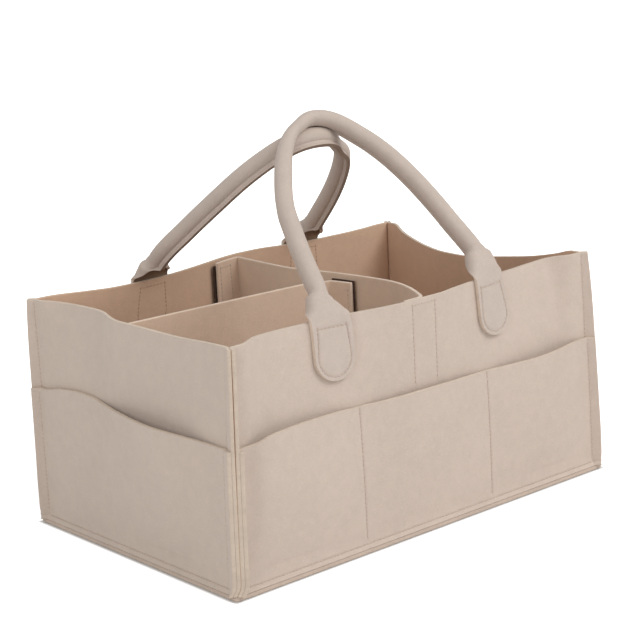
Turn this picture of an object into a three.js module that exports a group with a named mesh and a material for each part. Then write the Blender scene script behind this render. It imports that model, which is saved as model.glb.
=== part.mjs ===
// A soft felt nursery caddy: an open rectangular tub with outside pockets, two rolled carrying
// handles and two removable dividers that hold to the walls with hook and loop tape.
// Millimetres, +Z up, origin at the middle of the base on the floor, +X along the long side.

import * as THREE from "three";

// Driving dimensions
const baseLength = 380;
const baseWidth = 245;
const rimHeight = 177;
const felt = 3;
const layerGap = 0.3;

// Sewn seams: the lower edges of walls and pockets flare out over the base edge,
// and at each corner the panels are pinched together into a standing ridge.
const seamFlare = 2.5;
const seamFlareHeight = 7;
const cornerLip = 6;
const cornerLipAtBase = 0.3;
const cornerLipFade = 6;

// The upper edges are not straight: the handles draw the long walls in, the end walls sag in.
const handleDrawIn = 11;
const leftEndSag = 13.5;
const rightEndSag = 14;
const leftSagStart = 11.5;
const leftSagPeak = 56;
const rightSagEnd = -90;
const rightSagSkew = 0.88;
const flatCornerRun = 9;
const rightRimDip = 12.7;
const sagShareAtPocket = 0.25;

// Seen from above, the rim is a little wider than the base at the left end and narrower at the right.
const leftRimSpread = 3;
const rightRimPinch = 4;
const rimSkewStart = 105;
const rimSkewPower = 1.5;

// Pockets
const sidePocketHeight = 110;
const endPocketHeight = 107;
const pocketEdgeRise = 5;
const sidePocketSeam = 65;
const sidePocketGape = 8;
const pocketFullness = 0.7;
const endPocketGape = 10;
const endPocketGapePeak = -40;
const endPocketGapeEnd = 50;

// Handles: a strip of felt rolled round a core, opening flat into a rounded tab at each foot.
const handleHalfSpan = 81;
const frontHandleRise = 161.8;
const frontHandleLean = 41.4;
const frontHandleSway = 3.4;
const backHandleRise = 142.3;
const backHandleLean = 42.4;
const backHandleSway = 18.3;
const footLean = 20;
const footBendLength = 22;
const rollLength = 24;
const handleTubeRadius = 6.4;
const handleLipTurn = 2;
const handleLipLength = 3.5;
const handleSlit = 0.4;
const coreClearance = 0.6;
const coreEndInset = 6;
const tabWidth = 37;
const tabBottom = 133;
const tabCornerRadius = 17;

// Dividers and their tapes
const dividerHeight = 172.5;
const dividerTapeCentre = 3;
const endTapeCentre = -1;
const flapWidth = 22;
const flapFoldGap = 0.9;
const longFlapWidth = 25;
const innerFlapWidth = 18;
const loopTapeWidth = 25;
const hookTapeWidth = 20;
const tape = 1.2;
const tapeFloorGap = 6;
const tapeTopGap = 3;
const hookTapeShow = 3;
const crossBackPull = -10;
const crossFrontPull = 26;
const crossBackReach = 61;
const crossFrontReach = 51;
const longDividerInnerEnd = 4;

// Mesh fineness
const wallStep = 24;
const endStep = 18;
const tubeSides = 10;
const archSteps = 18;
const footSteps = 6;
const coreSides = 10;
const coreSteps = 22;
const panelSteps = 14;

// Derived sizes
const layer = felt + layerGap;
const wallHalfLength = baseLength / 2 - seamFlare - layer - felt / 2;
const wallHalfWidth = baseWidth / 2 - seamFlare - layer - felt / 2;
const floorTop = felt + layerGap;
const flareTop = floorTop + seamFlareHeight;
const lipTop = flareTop + cornerLipFade;
const tabInner = handleHalfSpan - tabWidth / 2;
const tabOuter = handleHalfSpan + tabWidth / 2;
const tapeZoneEnd = dividerTapeCentre + loopTapeWidth / 2 + layerGap;
const longRunEnd = wallHalfLength - flatCornerRun;
const endRunEnd = wallHalfWidth - flatCornerRun;

const degrees = Math.PI / 180;
const feltColour = 0xc9b4a2;

function feltMaterial() {
  return new THREE.MeshStandardMaterial({ color: feltColour, roughness: 0.95, metalness: 0 });
}

function loopMaterial() {
  return new THREE.MeshStandardMaterial({ color: 0xb59c87, roughness: 0.98, metalness: 0 });
}

function hookMaterial() {
  return new THREE.MeshStandardMaterial({ color: 0x2e211b, roughness: 0.7, metalness: 0 });
}

function coreMaterial() {
  return new THREE.MeshStandardMaterial({ color: 0xe6e0d6, roughness: 0.9, metalness: 0 });
}

// Small helpers

const rise = (x) => (1 - Math.cos(Math.PI * THREE.MathUtils.clamp(x, 0, 1))) / 2;

// Zero up to start, one from full to fade, zero again after end, with soft shoulders.
function swell(x, start, full, fade, end) {
  return x < fade ? rise((x - start) / (full - start)) : rise((end - x) / (end - fade));
}

// A bowed rise from zero to one, steepest at its start.
const bow = (x) => Math.sin((Math.PI / 2) * THREE.MathUtils.clamp(x, 0, 1));

// Values from first to last that include every wanted value, with no step above the given one.
function stations(wanted, step) {
  const sorted = [...new Set(wanted)].sort((a, b) => a - b);
  const out = [sorted[0]];
  for (let i = 1; i < sorted.length; i++) {
    const parts = Math.ceil((sorted[i] - sorted[i - 1]) / step - 1e-6);
    for (let k = 1; k <= parts; k++) {
      out.push(sorted[i - 1] + ((sorted[i] - sorted[i - 1]) * k) / parts);
    }
  }
  return out;
}

function signedVolume(points, index) {
  const at = (k) => points[index[k]];
  let sum = 0;
  for (let k = 0; k < index.length; k += 3) {
    sum += at(k).dot(at(k + 1).clone().cross(at(k + 2)));
  }
  return sum / 6;
}

// A closed sheet of felt: two grids of points, near and far, joined along their four edges.
function sheetSolid(columns, rows, near, far) {
  const points = [];
  for (const face of [near, far]) {
    for (let j = 0; j < rows; j++) {
      for (let i = 0; i < columns; i++) {
        points.push(face(i, j));
      }
    }
  }
  const id = (side, i, j) => (side * rows + j) * columns + i;
  const index = [];
  const quad = (a, b, c, d) => index.push(a, b, c, a, c, d);
  const lastColumn = columns - 1;
  const lastRow = rows - 1;
  for (let j = 0; j < lastRow; j++) {
    for (let i = 0; i < lastColumn; i++) {
      quad(id(0, i, j), id(0, i + 1, j), id(0, i + 1, j + 1), id(0, i, j + 1));
      quad(id(1, i + 1, j + 1), id(1, i + 1, j), id(1, i, j), id(1, i, j + 1));
    }
    quad(id(0, 0, j), id(0, 0, j + 1), id(1, 0, j + 1), id(1, 0, j));
    quad(id(0, lastColumn, j + 1), id(0, lastColumn, j), id(1, lastColumn, j), id(1, lastColumn, j + 1));
  }
  for (let i = 0; i < lastColumn; i++) {
    quad(id(0, i + 1, 0), id(0, i, 0), id(1, i, 0), id(1, i + 1, 0));
    quad(id(0, i, lastRow), id(0, i + 1, lastRow), id(1, i + 1, lastRow), id(1, i, lastRow));
  }
  if (signedVolume(points, index) < 0) {
    index.reverse();
  }
  const geometry = new THREE.BufferGeometry();
  geometry.setAttribute("position", new THREE.Float32BufferAttribute(points.flatMap((p) => p.toArray()), 3));
  geometry.setIndex(index);
  geometry.computeVertexNormals();
  return geometry;
}

// A long wall is drawn in where the handle tabs are sewn on, and stays flat at the divider's tape.
function longWallSag(t) {
  const x = Math.abs(t);
  const middlePart = rise((x - tapeZoneEnd) / (tabInner - tapeZoneEnd));
  return handleDrawIn * (x < tabOuter ? middlePart : bow((longRunEnd - x) / (longRunEnd - tabOuter)));
}

// The left end stays upright where the long divider's tape holds it.
function leftWallSag(t) {
  const nearPart = rise((t - leftSagStart) / (leftSagPeak - leftSagStart));
  return leftEndSag * (t < leftSagPeak ? nearPart : bow((endRunEnd - t) / (endRunEnd - leftSagPeak)));
}

// The right end falls away at once from the back corner and runs out before the front corner.
function rightWallSag(t) {
  const share = THREE.MathUtils.clamp((endRunEnd - t) / (endRunEnd - rightSagEnd), 0, 1);
  return rightEndSag * Math.sin(Math.PI * share ** rightSagSkew);
}

// A point of the tub, with its rim spread at the left end and drawn together at the right end.
function tubPoint(x, y, z) {
  const share = rise((Math.abs(x) - rimSkewStart) / (wallHalfLength - rimSkewStart));
  const lift = THREE.MathUtils.clamp((z - lipTop) / (rimHeight - lipTop), 0, 1) ** rimSkewPower;
  const shift = (x < 0 ? leftRimSpread : -rightRimPinch) * share * lift;
  return new THREE.Vector3(x, y * (1 + shift / wallHalfWidth), z);
}

// The four sides of the tub. Each side has its own coordinates: along the wall, outwards and up.
const sides = {
  front: {
    half: wallHalfLength,
    reach: wallHalfWidth,
    place: (along, out, z) => tubPoint(along, -out, z),
    sag: longWallSag,
    dip: 0,
    pocketHeight: sidePocketHeight,
    gape: (t) => sidePocketGape * sidePocketShape(t),
  },
  back: {
    half: wallHalfLength,
    reach: wallHalfWidth,
    place: (along, out, z) => tubPoint(along, out, z),
    sag: longWallSag,
    dip: 0,
    pocketHeight: sidePocketHeight,
    gape: (t) => sidePocketGape * sidePocketShape(t),
  },
  left_end: {
    half: wallHalfWidth,
    reach: wallHalfLength,
    place: (along, out, z) => tubPoint(-out, along, z),
    sag: leftWallSag,
    dip: 0,
    pocketHeight: endPocketHeight,
    gape: (t) => endPocketGape * endPocketShape(t),
  },
  right_end: {
    half: wallHalfWidth,
    reach: wallHalfLength,
    place: (along, out, z) => tubPoint(out, along, z),
    sag: rightWallSag,
    dip: rightRimDip,
    pocketHeight: endPocketHeight,
    gape: (t) => endPocketGape * endPocketShape(t),
  },
};

// A long side has three pockets between its sewn seams, and each one bellies out.
function sidePocketShape(t) {
  const x = Math.abs(t);
  const outerShare = (x - sidePocketSeam) / (longRunEnd - sidePocketSeam);
  const share = x < sidePocketSeam ? (x / sidePocketSeam + 1) / 2 : outerShare;
  return Math.sqrt(Math.sin(Math.PI * THREE.MathUtils.clamp(share, 0, 1)));
}

// An end pocket stands open at one half and lies against the wall at the other.
function endPocketShape(t) {
  return swell(t, -endRunEnd, endPocketGapePeak, endPocketGapePeak, endPocketGapeEnd);
}

// A wall that leans in also drops a little at its rim, and the right end's rim dips further.
function rimAt(side, t) {
  const sag = side.sag(t);
  return rimHeight - sag ** 2 / rimHeight - side.dip * (sag / rightEndSag);
}

function pocketEdgeAt(side, t) {
  const share = THREE.MathUtils.clamp(t / (side.half - flatCornerRun), -1, 1);
  return side.pocketHeight + pocketEdgeRise * (1 - share ** 2);
}

// How much of the sag at the rim a wall has at a height.
function sagShare(z, edge, rim) {
  if (z <= edge) {
    return sagShareAtPocket * (Math.max(0, z - lipTop) / (edge - lipTop)) ** 2;
  }
  return sagShareAtPocket + ((1 - sagShareAtPocket) * (z - edge)) / (rim - edge);
}

// Heights of the rows of a wall at one station; a pocket ends at the row of its own edge.
function rowHeights(side, t) {
  const edge = pocketEdgeAt(side, t);
  const lower = [floorTop, flareTop, lipTop];
  const middle = [1 / 3, 2 / 3, 1].map((share) => lipTop + (edge - lipTop) * share);
  return [...lower, ...middle, rimAt(side, t)];
}

// One layer of felt on one side of the tub. Layer 0 is the wall and layer 1 the pocket outside it.
function sidePanel(side, layerNumber, along) {
  const offset = layerNumber * layer;
  const fromDiagonal = layer / 2 + offset;
  const columns = along.length + 4;
  const rows = layerNumber === 0 ? 7 : 6;

  // Points of the middle of the felt and its thickness direction, in plan, at one column and row.
  function middle(i, j) {
    const isLeft = i < 2;
    const isRight = i >= columns - 2;
    const t = isLeft ? along[0] : isRight ? along[along.length - 1] : along[i - 2];
    const z = rowHeights(side, t)[j];
    const flare = seamFlare * THREE.MathUtils.clamp((flareTop - z) / seamFlareHeight, 0, 1);
    const out = side.reach + flare;
    if (isLeft || isRight) {
      const sign = isLeft ? -1 : 1;
      const half = side.half + flare;
      if (i === 0 || i === columns - 1) {
        const lipShare = THREE.MathUtils.clamp((z - floorTop) / (lipTop - floorTop), 0, 1);
        const lip = THREE.MathUtils.lerp(cornerLipAtBase, cornerLip, lipShare);
        const tipAlong = half + (lip - fromDiagonal) * Math.SQRT1_2;
        const tipOut = out + (lip + fromDiagonal) * Math.SQRT1_2;
        return { t: sign * tipAlong, out: tipOut, z, dt: -sign * Math.SQRT1_2, dout: Math.SQRT1_2 };
      }
      const bend = half + offset - fromDiagonal * Math.SQRT2;
      return { t: sign * bend, out: out + offset, z, dt: -sign * Math.tan(22.5 * degrees), dout: 1 };
    }
    const inward = side.sag(t) * sagShare(z, pocketEdgeAt(side, t), rimAt(side, t));
    const fill = Math.max(0, z - lipTop) / (pocketEdgeAt(side, t) - lipTop);
    const belly = layerNumber * side.gape(t) * fill ** pocketFullness;
    return { t, out: out + offset - inward + belly, z, dt: 0, dout: 1 };
  }

  const face = (shift) => (i, j) => {
    const m = middle(i, j);
    return side.place(m.t + m.dt * shift, m.out + m.dout * shift, m.z);
  };
  return sheetSolid(columns, rows, face(-felt / 2), face(felt / 2));
}

function longSideStations() {
  const marks = [0, tapeZoneEnd, tabInner, sidePocketSeam, tabOuter, longRunEnd];
  return stations([...marks, ...marks.map((x) => -x)], wallStep);
}

function endStations(side) {
  const peak = side === sides.left_end ? [leftSagStart, leftSagPeak] : [rightSagEnd];
  return stations([-endRunEnd, endRunEnd, endPocketGapePeak, endPocketGapeEnd, ...peak], endStep);
}

// The base is one flat piece of felt under all the lower seams.
function basePanel() {
  const shape = new THREE.Shape();
  const x = baseLength / 2;
  const y = baseWidth / 2;
  const r = felt;
  shape.moveTo(-x + r, -y);
  shape.lineTo(x - r, -y);
  shape.absarc(x - r, -y + r, r, -Math.PI / 2, 0);
  shape.absarc(x - r, y - r, r, 0, Math.PI / 2);
  shape.absarc(-x + r, y - r, r, Math.PI / 2, Math.PI);
  shape.absarc(-x + r, -y + r, r, Math.PI, Math.PI * 1.5);
  return new THREE.ExtrudeGeometry(shape, { depth: felt, bevelEnabled: false, curveSegments: 4 });
}

// Handles

const handleRim = rimAt(sides.front, handleHalfSpan);
const handleEdge = pocketEdgeAt(sides.front, handleHalfSpan);

// Outer face of a long wall below a handle foot, at a height.
const drawnWallFace = (z) => wallHalfWidth + felt / 2 - handleDrawIn * sagShare(z, handleEdge, handleRim);

// The felt folds about a line on the tab's outer face, just above the rim.
const hingeOut = drawnWallFace(handleRim) + layer;
const hingeHeight = handleRim + layer;

// A sewn handle tab: a rounded tongue that lies on the outer face of the wall up to its rim.
function handleTab(side, centre) {
  const shape = new THREE.Shape();
  const half = tabWidth / 2;
  const r = tabCornerRadius;
  shape.moveTo(-half, handleRim);
  shape.lineTo(-half, tabBottom + r);
  shape.absarc(-half + r, tabBottom + r, r, Math.PI, Math.PI * 1.5);
  shape.absarc(half - r, tabBottom + r, r, Math.PI * 1.5, Math.PI * 2);
  shape.lineTo(half, handleRim);
  const geometry = new THREE.ExtrudeGeometry(shape, { depth: felt, bevelEnabled: false, curveSegments: 6 });
  const position = geometry.getAttribute("position");
  const mirrored = side.place(1, 0, 0).cross(side.place(0, 1, 0)).z > 0;
  for (let k = 0; k < position.count; k++) {
    const p = new THREE.Vector3().fromBufferAttribute(position, k);
    const depth = mirrored ? felt - p.z : p.z;
    const placed = side.place(centre + p.x, drawnWallFace(p.y) + layerGap + depth, p.y);
    position.setXYZ(k, ...placed.toArray());
  }
  geometry.computeVertexNormals();
  return geometry;
}

// The side view of a handle: it leaves the tab slightly inclined and bends over to its full lean.
function handleProfile(lean) {
  const start = (-felt * (1 - Math.sin(footLean * degrees))) / Math.cos(footLean * degrees);
  const leanAt = (s) => (footLean + (lean - footLean) * rise(s / footBendLength)) * degrees;
  const at = (s) => {
    let out = hingeOut - (felt / 2) * Math.cos(footLean * degrees);
    let z = hingeHeight - (felt / 2) * Math.sin(footLean * degrees);
    const steps = 60;
    for (let k = 0; k < steps; k++) {
      const a = leanAt((s * (k + 0.5)) / steps);
      out -= (Math.sin(a) * s) / steps;
      z += (Math.cos(a) * s) / steps;
    }
    return { out, z, angle: leanAt(s) };
  };
  return { start, at };
}

// A point on the middle of the strip's outer side, with the strip's own directions there.
function handleStation(handle, profile, s, angle) {
  const { out, z, angle: lean } = profile.at(s);
  const { side, rise: height, sway } = handle;
  const x = handleHalfSpan * Math.cos(angle) + sway * Math.sin(angle) ** 2;
  const point = side.place(x, out, z);
  const up = side.place(0, -Math.sin(lean), Math.cos(lean));
  const inner = side.place(0, -Math.cos(lean), -Math.sin(lean));
  const across = side.place(1, 0, 0);
  const tangent = up.clone().multiplyScalar(height * Math.cos(angle));
  const sideways = sway * Math.sin(2 * angle) - handleHalfSpan * Math.sin(angle);
  tangent.addScaledVector(across, sideways).normalize();
  const lateral = tangent.clone().cross(inner);
  return { point, inner, lateral, s };
}

// Stations from one foot over the arch to the other foot, close together where the strip rolls up.
function handleStations(handle) {
  const profile = handleProfile(handle.lean);
  const footRises = stations([0, rollLength], rollLength / footSteps);
  const footAngles = footRises.map((s) => Math.asin(s / handle.rise));
  const first = footAngles[footAngles.length - 1];
  const arch = stations([first, Math.PI - first], (Math.PI - 2 * first) / archSteps).slice(1, -1);
  const angles = [...footAngles, ...arch, ...footAngles.map((a) => Math.PI - a).reverse()];
  const over = angles.map((a) => handleStation(handle, profile, handle.rise * Math.sin(a), a));
  const feet = [0, Math.PI].map((a) => handleStation(handle, profile, profile.start, a));
  return [feet[0], ...over, feet[1]];
}

// Half of the strip across its width: stretches of the roll, of the turned lip and of its flat.
function rollStretches() {
  const radius = handleTubeRadius - felt / 2;
  const lipMiddle = (felt + handleSlit) / 2;
  const close = Math.PI - Math.asin((lipMiddle + handleLipTurn) / (radius + handleLipTurn));
  const out = [];
  const half = tubeSides / 2;
  for (let k = 0; k < half; k++) {
    out.push({ length: (radius * close) / half, heading: (close * (k + 0.5)) / half });
  }
  const turn = close - Math.PI / 2;
  for (const share of [0.25, 0.75]) {
    out.push({ length: (handleLipTurn * turn) / 2, heading: close - turn * share });
  }
  out.push({ length: handleLipLength, heading: Math.PI / 2 });
  return out;
}

// The section of the strip at one station, from flat (roll 0) to a closed tube with its lip (roll 1).
function rolledSection(roll) {
  const stretches = rollStretches();
  const flatHalf = stretches.reduce((sum, part) => sum + part.length, 0);
  const scale = THREE.MathUtils.lerp(tabWidth / 2 / flatHalf, 1, roll);
  const half = [{ across: 0, inward: 0, heading: 0 }];
  stretches.forEach((part, k) => {
    const last = half[half.length - 1];
    const heading = part.heading * roll;
    const next = k + 1 < stretches.length ? stretches[k + 1].heading * roll : heading;
    half.push({
      across: last.across + Math.cos(heading) * part.length * scale,
      inward: last.inward + Math.sin(heading) * part.length * scale,
      heading: (heading + next) / 2,
    });
  });
  const mirrored = half.slice(1).reverse();
  const flipped = mirrored.map((p) => ({ across: -p.across, inward: p.inward, heading: -p.heading }));
  return [...flipped, ...half];
}

function handleSleeve(handle) {
  const along = handleStations(handle);
  const rollAt = (s) => THREE.MathUtils.clamp(s / rollLength, 0, 1);
  const sections = along.map((station) => rolledSection(rollAt(station.s)));
  const face = (shift) => (i, j) => {
    const { point, inner, lateral } = along[j];
    const { across, inward, heading } = sections[j][i];
    const placed = point.clone().addScaledVector(lateral, across - Math.sin(heading) * shift);
    return placed.addScaledVector(inner, inward + Math.cos(heading) * shift);
  };
  return sheetSolid(sections[0].length, along.length, face(felt / 2), face(-felt / 2));
}

function handleCore(handle) {
  const profile = handleProfile(handle.lean);
  const first = Math.asin((rollLength + coreEndInset) / handle.rise);
  const points = stations([first, Math.PI - first], (Math.PI - 2 * first) / coreSteps).map((a) => {
    const { point, inner } = handleStation(handle, profile, handle.rise * Math.sin(a), a);
    return point.addScaledVector(inner, handleTubeRadius - felt / 2);
  });
  const section = new THREE.Shape();
  section.absarc(0, 0, handleTubeRadius - felt - coreClearance, 0, Math.PI * 2);
  const path = new THREE.CatmullRomCurve3(points);
  const options = { extrudePath: path, steps: coreSteps, curveSegments: coreSides, bevelEnabled: false };
  return new THREE.ExtrudeGeometry(section, options);
}

// Dividers

// An upright sheet along a line in plan, between two offsets from that line and two heights.
function uprightSheet(line, from, to, bottom, top) {
  const face = (shift) => (i, j) => {
    const { x, y, nx, ny } = line[i];
    return new THREE.Vector3(x + nx * shift, y + ny * shift, j === 0 ? bottom : top);
  };
  return sheetSolid(line.length, 2, face(from), face(to));
}

// A straight line in plan with its normal turned to the right of its direction.
function straightLine(x0, y0, x1, y1) {
  const length = Math.hypot(x1 - x0, y1 - y0);
  const normal = { nx: (y1 - y0) / length, ny: -(x1 - x0) / length };
  return [{ x: x0, y: y0, ...normal }, { x: x1, y: y1, ...normal }];
}

const wallInner = wallHalfWidth - felt / 2;
const endInner = wallHalfLength - felt / 2;

// From a wall inwards: loop tape, hook tape, flap.
const loopNear = layerGap;
const loopFar = loopNear + tape;
const hookNear = loopFar + layerGap;
const hookFar = hookNear + tape;
const flapNear = hookFar + layerGap;
const flapFar = flapNear + felt;

const dividerBottom = floorTop;
const dividerTop = dividerBottom + dividerHeight;
const tapeBottom = dividerBottom + tapeFloorGap;
const tapeTop = dividerTop - tapeTopGap;

// Middle of the cross divider's felt at both walls, and the plan curve between them.
const crossFold = dividerTapeCentre + flapWidth / 2 + felt / 2;
const crossEnd = wallInner - flapNear;
const crossCurve = new THREE.CubicBezierCurve(
  new THREE.Vector2(crossFold, crossEnd),
  new THREE.Vector2(crossFold + crossBackPull, crossEnd - crossBackReach),
  new THREE.Vector2(crossFold + crossFrontPull, crossFrontReach - crossEnd),
  new THREE.Vector2(crossFold, -crossEnd),
);

// The cross divider's line from the back wall to the front wall, with normals towards +X.
// Its two ends are cut along the walls, so their thickness direction is along X.
function crossLine() {
  const out = [];
  for (let k = 0; k <= panelSteps; k++) {
    const u = k / panelSteps;
    const p = crossCurve.getPoint(u);
    const d = crossCurve.getTangent(u);
    const square = k === 0 || k === panelSteps;
    const normal = square ? { nx: -1 / d.y, ny: 0 } : { nx: -d.y, ny: d.x };
    out.push({ x: p.x, y: p.y, ...normal });
  }
  return out;
}

// Part of the cross divider's faceted line between two values of y, for what lies on its face.
function crossLinePart(yFrom, yTo) {
  const line = crossLine();
  const cut = (y) => {
    const k = line.findIndex((p) => p.y < y);
    const a = line[k - 1];
    const b = line[k];
    const share = (a.y - y) / (a.y - b.y);
    const mix = (key) => THREE.MathUtils.lerp(a[key], b[key], share);
    return { x: mix("x"), y, nx: mix("nx"), ny: mix("ny") };
  };
  return [cut(yFrom), ...line.filter((p) => p.y < yFrom && p.y > yTo), cut(yTo)];
}

function crossDivider() {
  return uprightSheet(crossLine(), -felt / 2, felt / 2, dividerBottom, dividerTop);
}

// The side of the cross divider's end that faces the flap, at the wall named by its sign.
function crossFoldX(sign) {
  const line = crossLine();
  const end = sign > 0 ? line[0] : line[line.length - 1];
  return end.x - (end.nx * felt) / 2;
}

// A flap lies on the tape of a long wall, on the -X side of the cross divider.
function crossFlap(sign) {
  const fold = crossFoldX(sign) - flapFoldGap;
  const line = straightLine(fold, 0, fold - flapWidth, 0);
  const shifted = line.map((p) => ({ ...p, y: sign * wallInner, ny: -sign, nx: 0 }));
  return uprightSheet(shifted, flapNear, flapFar, dividerBottom, dividerTop);
}

// A strip of tape on a long wall (loop) or on the cross divider's flap (hook).
function crossTape(sign, width, near, far) {
  const half = width / 2;
  const line = straightLine(dividerTapeCentre + half, 0, dividerTapeCentre - half, 0);
  const shifted = line.map((p) => ({ ...p, y: sign * wallInner, ny: -sign, nx: 0 }));
  return uprightSheet(shifted, near, far, tapeBottom, tapeTop);
}

// The long divider runs from the left end wall to the -X face of the cross divider.
const longFoldOuter = endTapeCentre + longFlapWidth / 2;
const longFoldInner = longDividerInnerEnd;

function longDividerLine() {
  const [edge] = crossLinePart(longFoldInner, longFoldInner - innerFlapWidth);
  const inner = edge.x - (felt / 2 + flapNear) * edge.nx;
  return straightLine(-endInner + flapNear, longFoldOuter, inner, longFoldInner + felt / 2 + layerGap);
}

function longDivider() {
  return uprightSheet(longDividerLine(), -felt / 2, felt / 2, dividerBottom, dividerTop - felt);
}

// The long divider's flap on the end wall points to -Y, as its flap on the cross divider does.
function longWallFlap() {
  const start = longFoldOuter - felt / 2 - layerGap;
  const line = [start, start - longFlapWidth].map((y) => ({ x: -endInner, y, nx: 1, ny: 0 }));
  return uprightSheet(line, flapNear, flapFar, dividerBottom, dividerTop - felt);
}

function longWallTape(width, near, far) {
  const half = width / 2;
  const middle = longFoldOuter - felt / 2 - longFlapWidth / 2;
  const line = [middle + half, middle - half].map((y) => ({ x: -endInner, y, nx: 1, ny: 0 }));
  return uprightSheet(line, near, far, tapeBottom, tapeTop - felt);
}

function longCrossFlap() {
  const line = crossLinePart(longFoldInner - layerGap, longFoldInner - innerFlapWidth);
  const shift = felt / 2;
  const top = dividerTop - felt - tapeTopGap;
  return uprightSheet(line, -shift - flapFar, -shift - flapNear, dividerBottom, top);
}

// The hook tape on that flap shows beyond the flap's free edge and top edge.
function longCrossTape(overhang, near, far) {
  const end = longFoldInner - innerFlapWidth - overhang;
  const line = crossLinePart(longFoldInner - tapeTopGap, end);
  const shift = felt / 2;
  const top = dividerTop - felt - tapeTopGap + overhang;
  return uprightSheet(line, -shift - far, -shift - near, tapeBottom, top);
}

// Assembly

const caddy = new THREE.Group();

function add(name, geometry, material) {
  const mesh = new THREE.Mesh(geometry, material);
  mesh.name = name;
  caddy.add(mesh);
}

add("base_panel", basePanel(), feltMaterial());

for (const [name, side] of Object.entries(sides)) {
  const along = side.half === wallHalfLength ? longSideStations() : endStations(side);
  add(`${name}_wall`, sidePanel(side, 0, along), feltMaterial());
  add(`${name}_pocket_panel`, sidePanel(side, 1, along), feltMaterial());
}

const handles = {
  front: { side: sides.front, lean: frontHandleLean, rise: frontHandleRise, sway: frontHandleSway },
  back: { side: sides.back, lean: backHandleLean, rise: backHandleRise, sway: backHandleSway },
};

for (const [name, handle] of Object.entries(handles)) {
  add(`${name}_handle_sleeve`, handleSleeve(handle), feltMaterial());
  add(`${name}_handle_core`, handleCore(handle), coreMaterial());
  add(`${name}_handle_left_tab`, handleTab(handle.side, -handleHalfSpan), feltMaterial());
  add(`${name}_handle_right_tab`, handleTab(handle.side, handleHalfSpan), feltMaterial());
}

add("cross_divider_panel", crossDivider(), feltMaterial());
for (const [name, sign] of [["front", -1], ["back", 1]]) {
  add(`cross_divider_${name}_flap`, crossFlap(sign), feltMaterial());
  add(`cross_divider_${name}_hook_tape`, crossTape(sign, hookTapeWidth, hookNear, hookFar), hookMaterial());
  add(`${name}_wall_loop_tape`, crossTape(sign, loopTapeWidth, loopNear, loopFar), loopMaterial());
}

add("long_divider_panel", longDivider(), feltMaterial());
add("long_divider_wall_flap", longWallFlap(), feltMaterial());
add("long_divider_wall_hook_tape", longWallTape(hookTapeWidth, hookNear, hookFar), hookMaterial());
add("left_end_wall_loop_tape", longWallTape(loopTapeWidth, loopNear, loopFar), loopMaterial());
add("long_divider_inner_flap", longCrossFlap(), feltMaterial());
add("long_divider_inner_hook_tape", longCrossTape(hookTapeShow, hookNear, hookFar), hookMaterial());
add("cross_divider_loop_tape", longCrossTape(0, loopNear, loopFar), loopMaterial());

export default caddy;
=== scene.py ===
import math

import bpy
import numpy as np
from mathutils import Matrix, Vector


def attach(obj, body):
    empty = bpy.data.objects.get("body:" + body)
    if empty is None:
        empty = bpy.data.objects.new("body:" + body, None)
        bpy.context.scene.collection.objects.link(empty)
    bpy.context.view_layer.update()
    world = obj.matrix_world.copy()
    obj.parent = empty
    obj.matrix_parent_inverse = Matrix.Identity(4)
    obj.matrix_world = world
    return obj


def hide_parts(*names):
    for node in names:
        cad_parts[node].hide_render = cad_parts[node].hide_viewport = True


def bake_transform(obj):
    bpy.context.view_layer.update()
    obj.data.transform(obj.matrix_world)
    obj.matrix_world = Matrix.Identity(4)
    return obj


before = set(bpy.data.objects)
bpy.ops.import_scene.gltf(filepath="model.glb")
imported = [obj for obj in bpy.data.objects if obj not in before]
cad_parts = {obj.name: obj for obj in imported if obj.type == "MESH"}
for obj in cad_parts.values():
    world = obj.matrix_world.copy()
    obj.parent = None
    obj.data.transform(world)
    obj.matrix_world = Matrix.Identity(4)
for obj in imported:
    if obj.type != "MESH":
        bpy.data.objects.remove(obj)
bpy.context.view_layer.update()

MM = 0.001
DIAGONAL = math.sqrt(0.5)

# Sizes are in millimetres and angles in degrees where nothing else is said. They come from the packed
# solids and were fitted to the photograph.

# Tub: felt sheets with a gap between layers, and a base seam that flares out
BASE_LENGTH = 380
BASE_WIDTH = 245
BASE_CORNER = 3.0
RIM_HEIGHT = 177
FELT = 3
GAP = 0.3
LAYER = FELT + GAP
SEAM_FLARE = 2.5
SEAM_FLARE_HEIGHT = 7
SEAM_FLARE_POWER = 1.6

# Standing corner seams: pressed lips, and a near ridge that turns a little to the front
CORNER_LIP_FADE = 6
CORNER_ROUND = 1.3
CORNER_MARGIN = 0.8
LIP_PRESS = 0.9
LIP_SWELL = 0.14
RIDGE_LEAN = 0.5
RIDGE_LEAN_START = 1.5
RIDGE_LEAN_HEIGHT = 12

# Slack of the walls
FLAT_CORNER_RUN = 9
LEFT_SAG = 13.5
LEFT_SAG_START = 7
LEFT_SAG_PEAK = 56
LEFT_SAG_POWER = 0.7
RIGHT_SAG = 14
RIGHT_RIM_DIP = 12.7
SAG_POWER = 2.6
LEFT_RIM_SPREAD = 4.5
RIGHT_RIM_PINCH = 3
RIM_SKEW_START = 105
RIM_SPREAD_POWER = 1.5
LEFT_END_LEAN = 2.4
RIGHT_END_LEAN = 3
FRONT_CORNER_RISE = 2
FRONT_CORNER_START = 50
FRONT_CORNER_RUN = 60

# Pockets
LONG_POCKET_HEIGHT = 107
END_POCKET_HEIGHT = 107
END_POCKET_RISE = 5
POCKET_SEAM = 65
POCKET_FULLNESS = 0.7
END_GAPE = 10
END_GAPE_PEAK = -40
END_GAPE_END = 50

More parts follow.
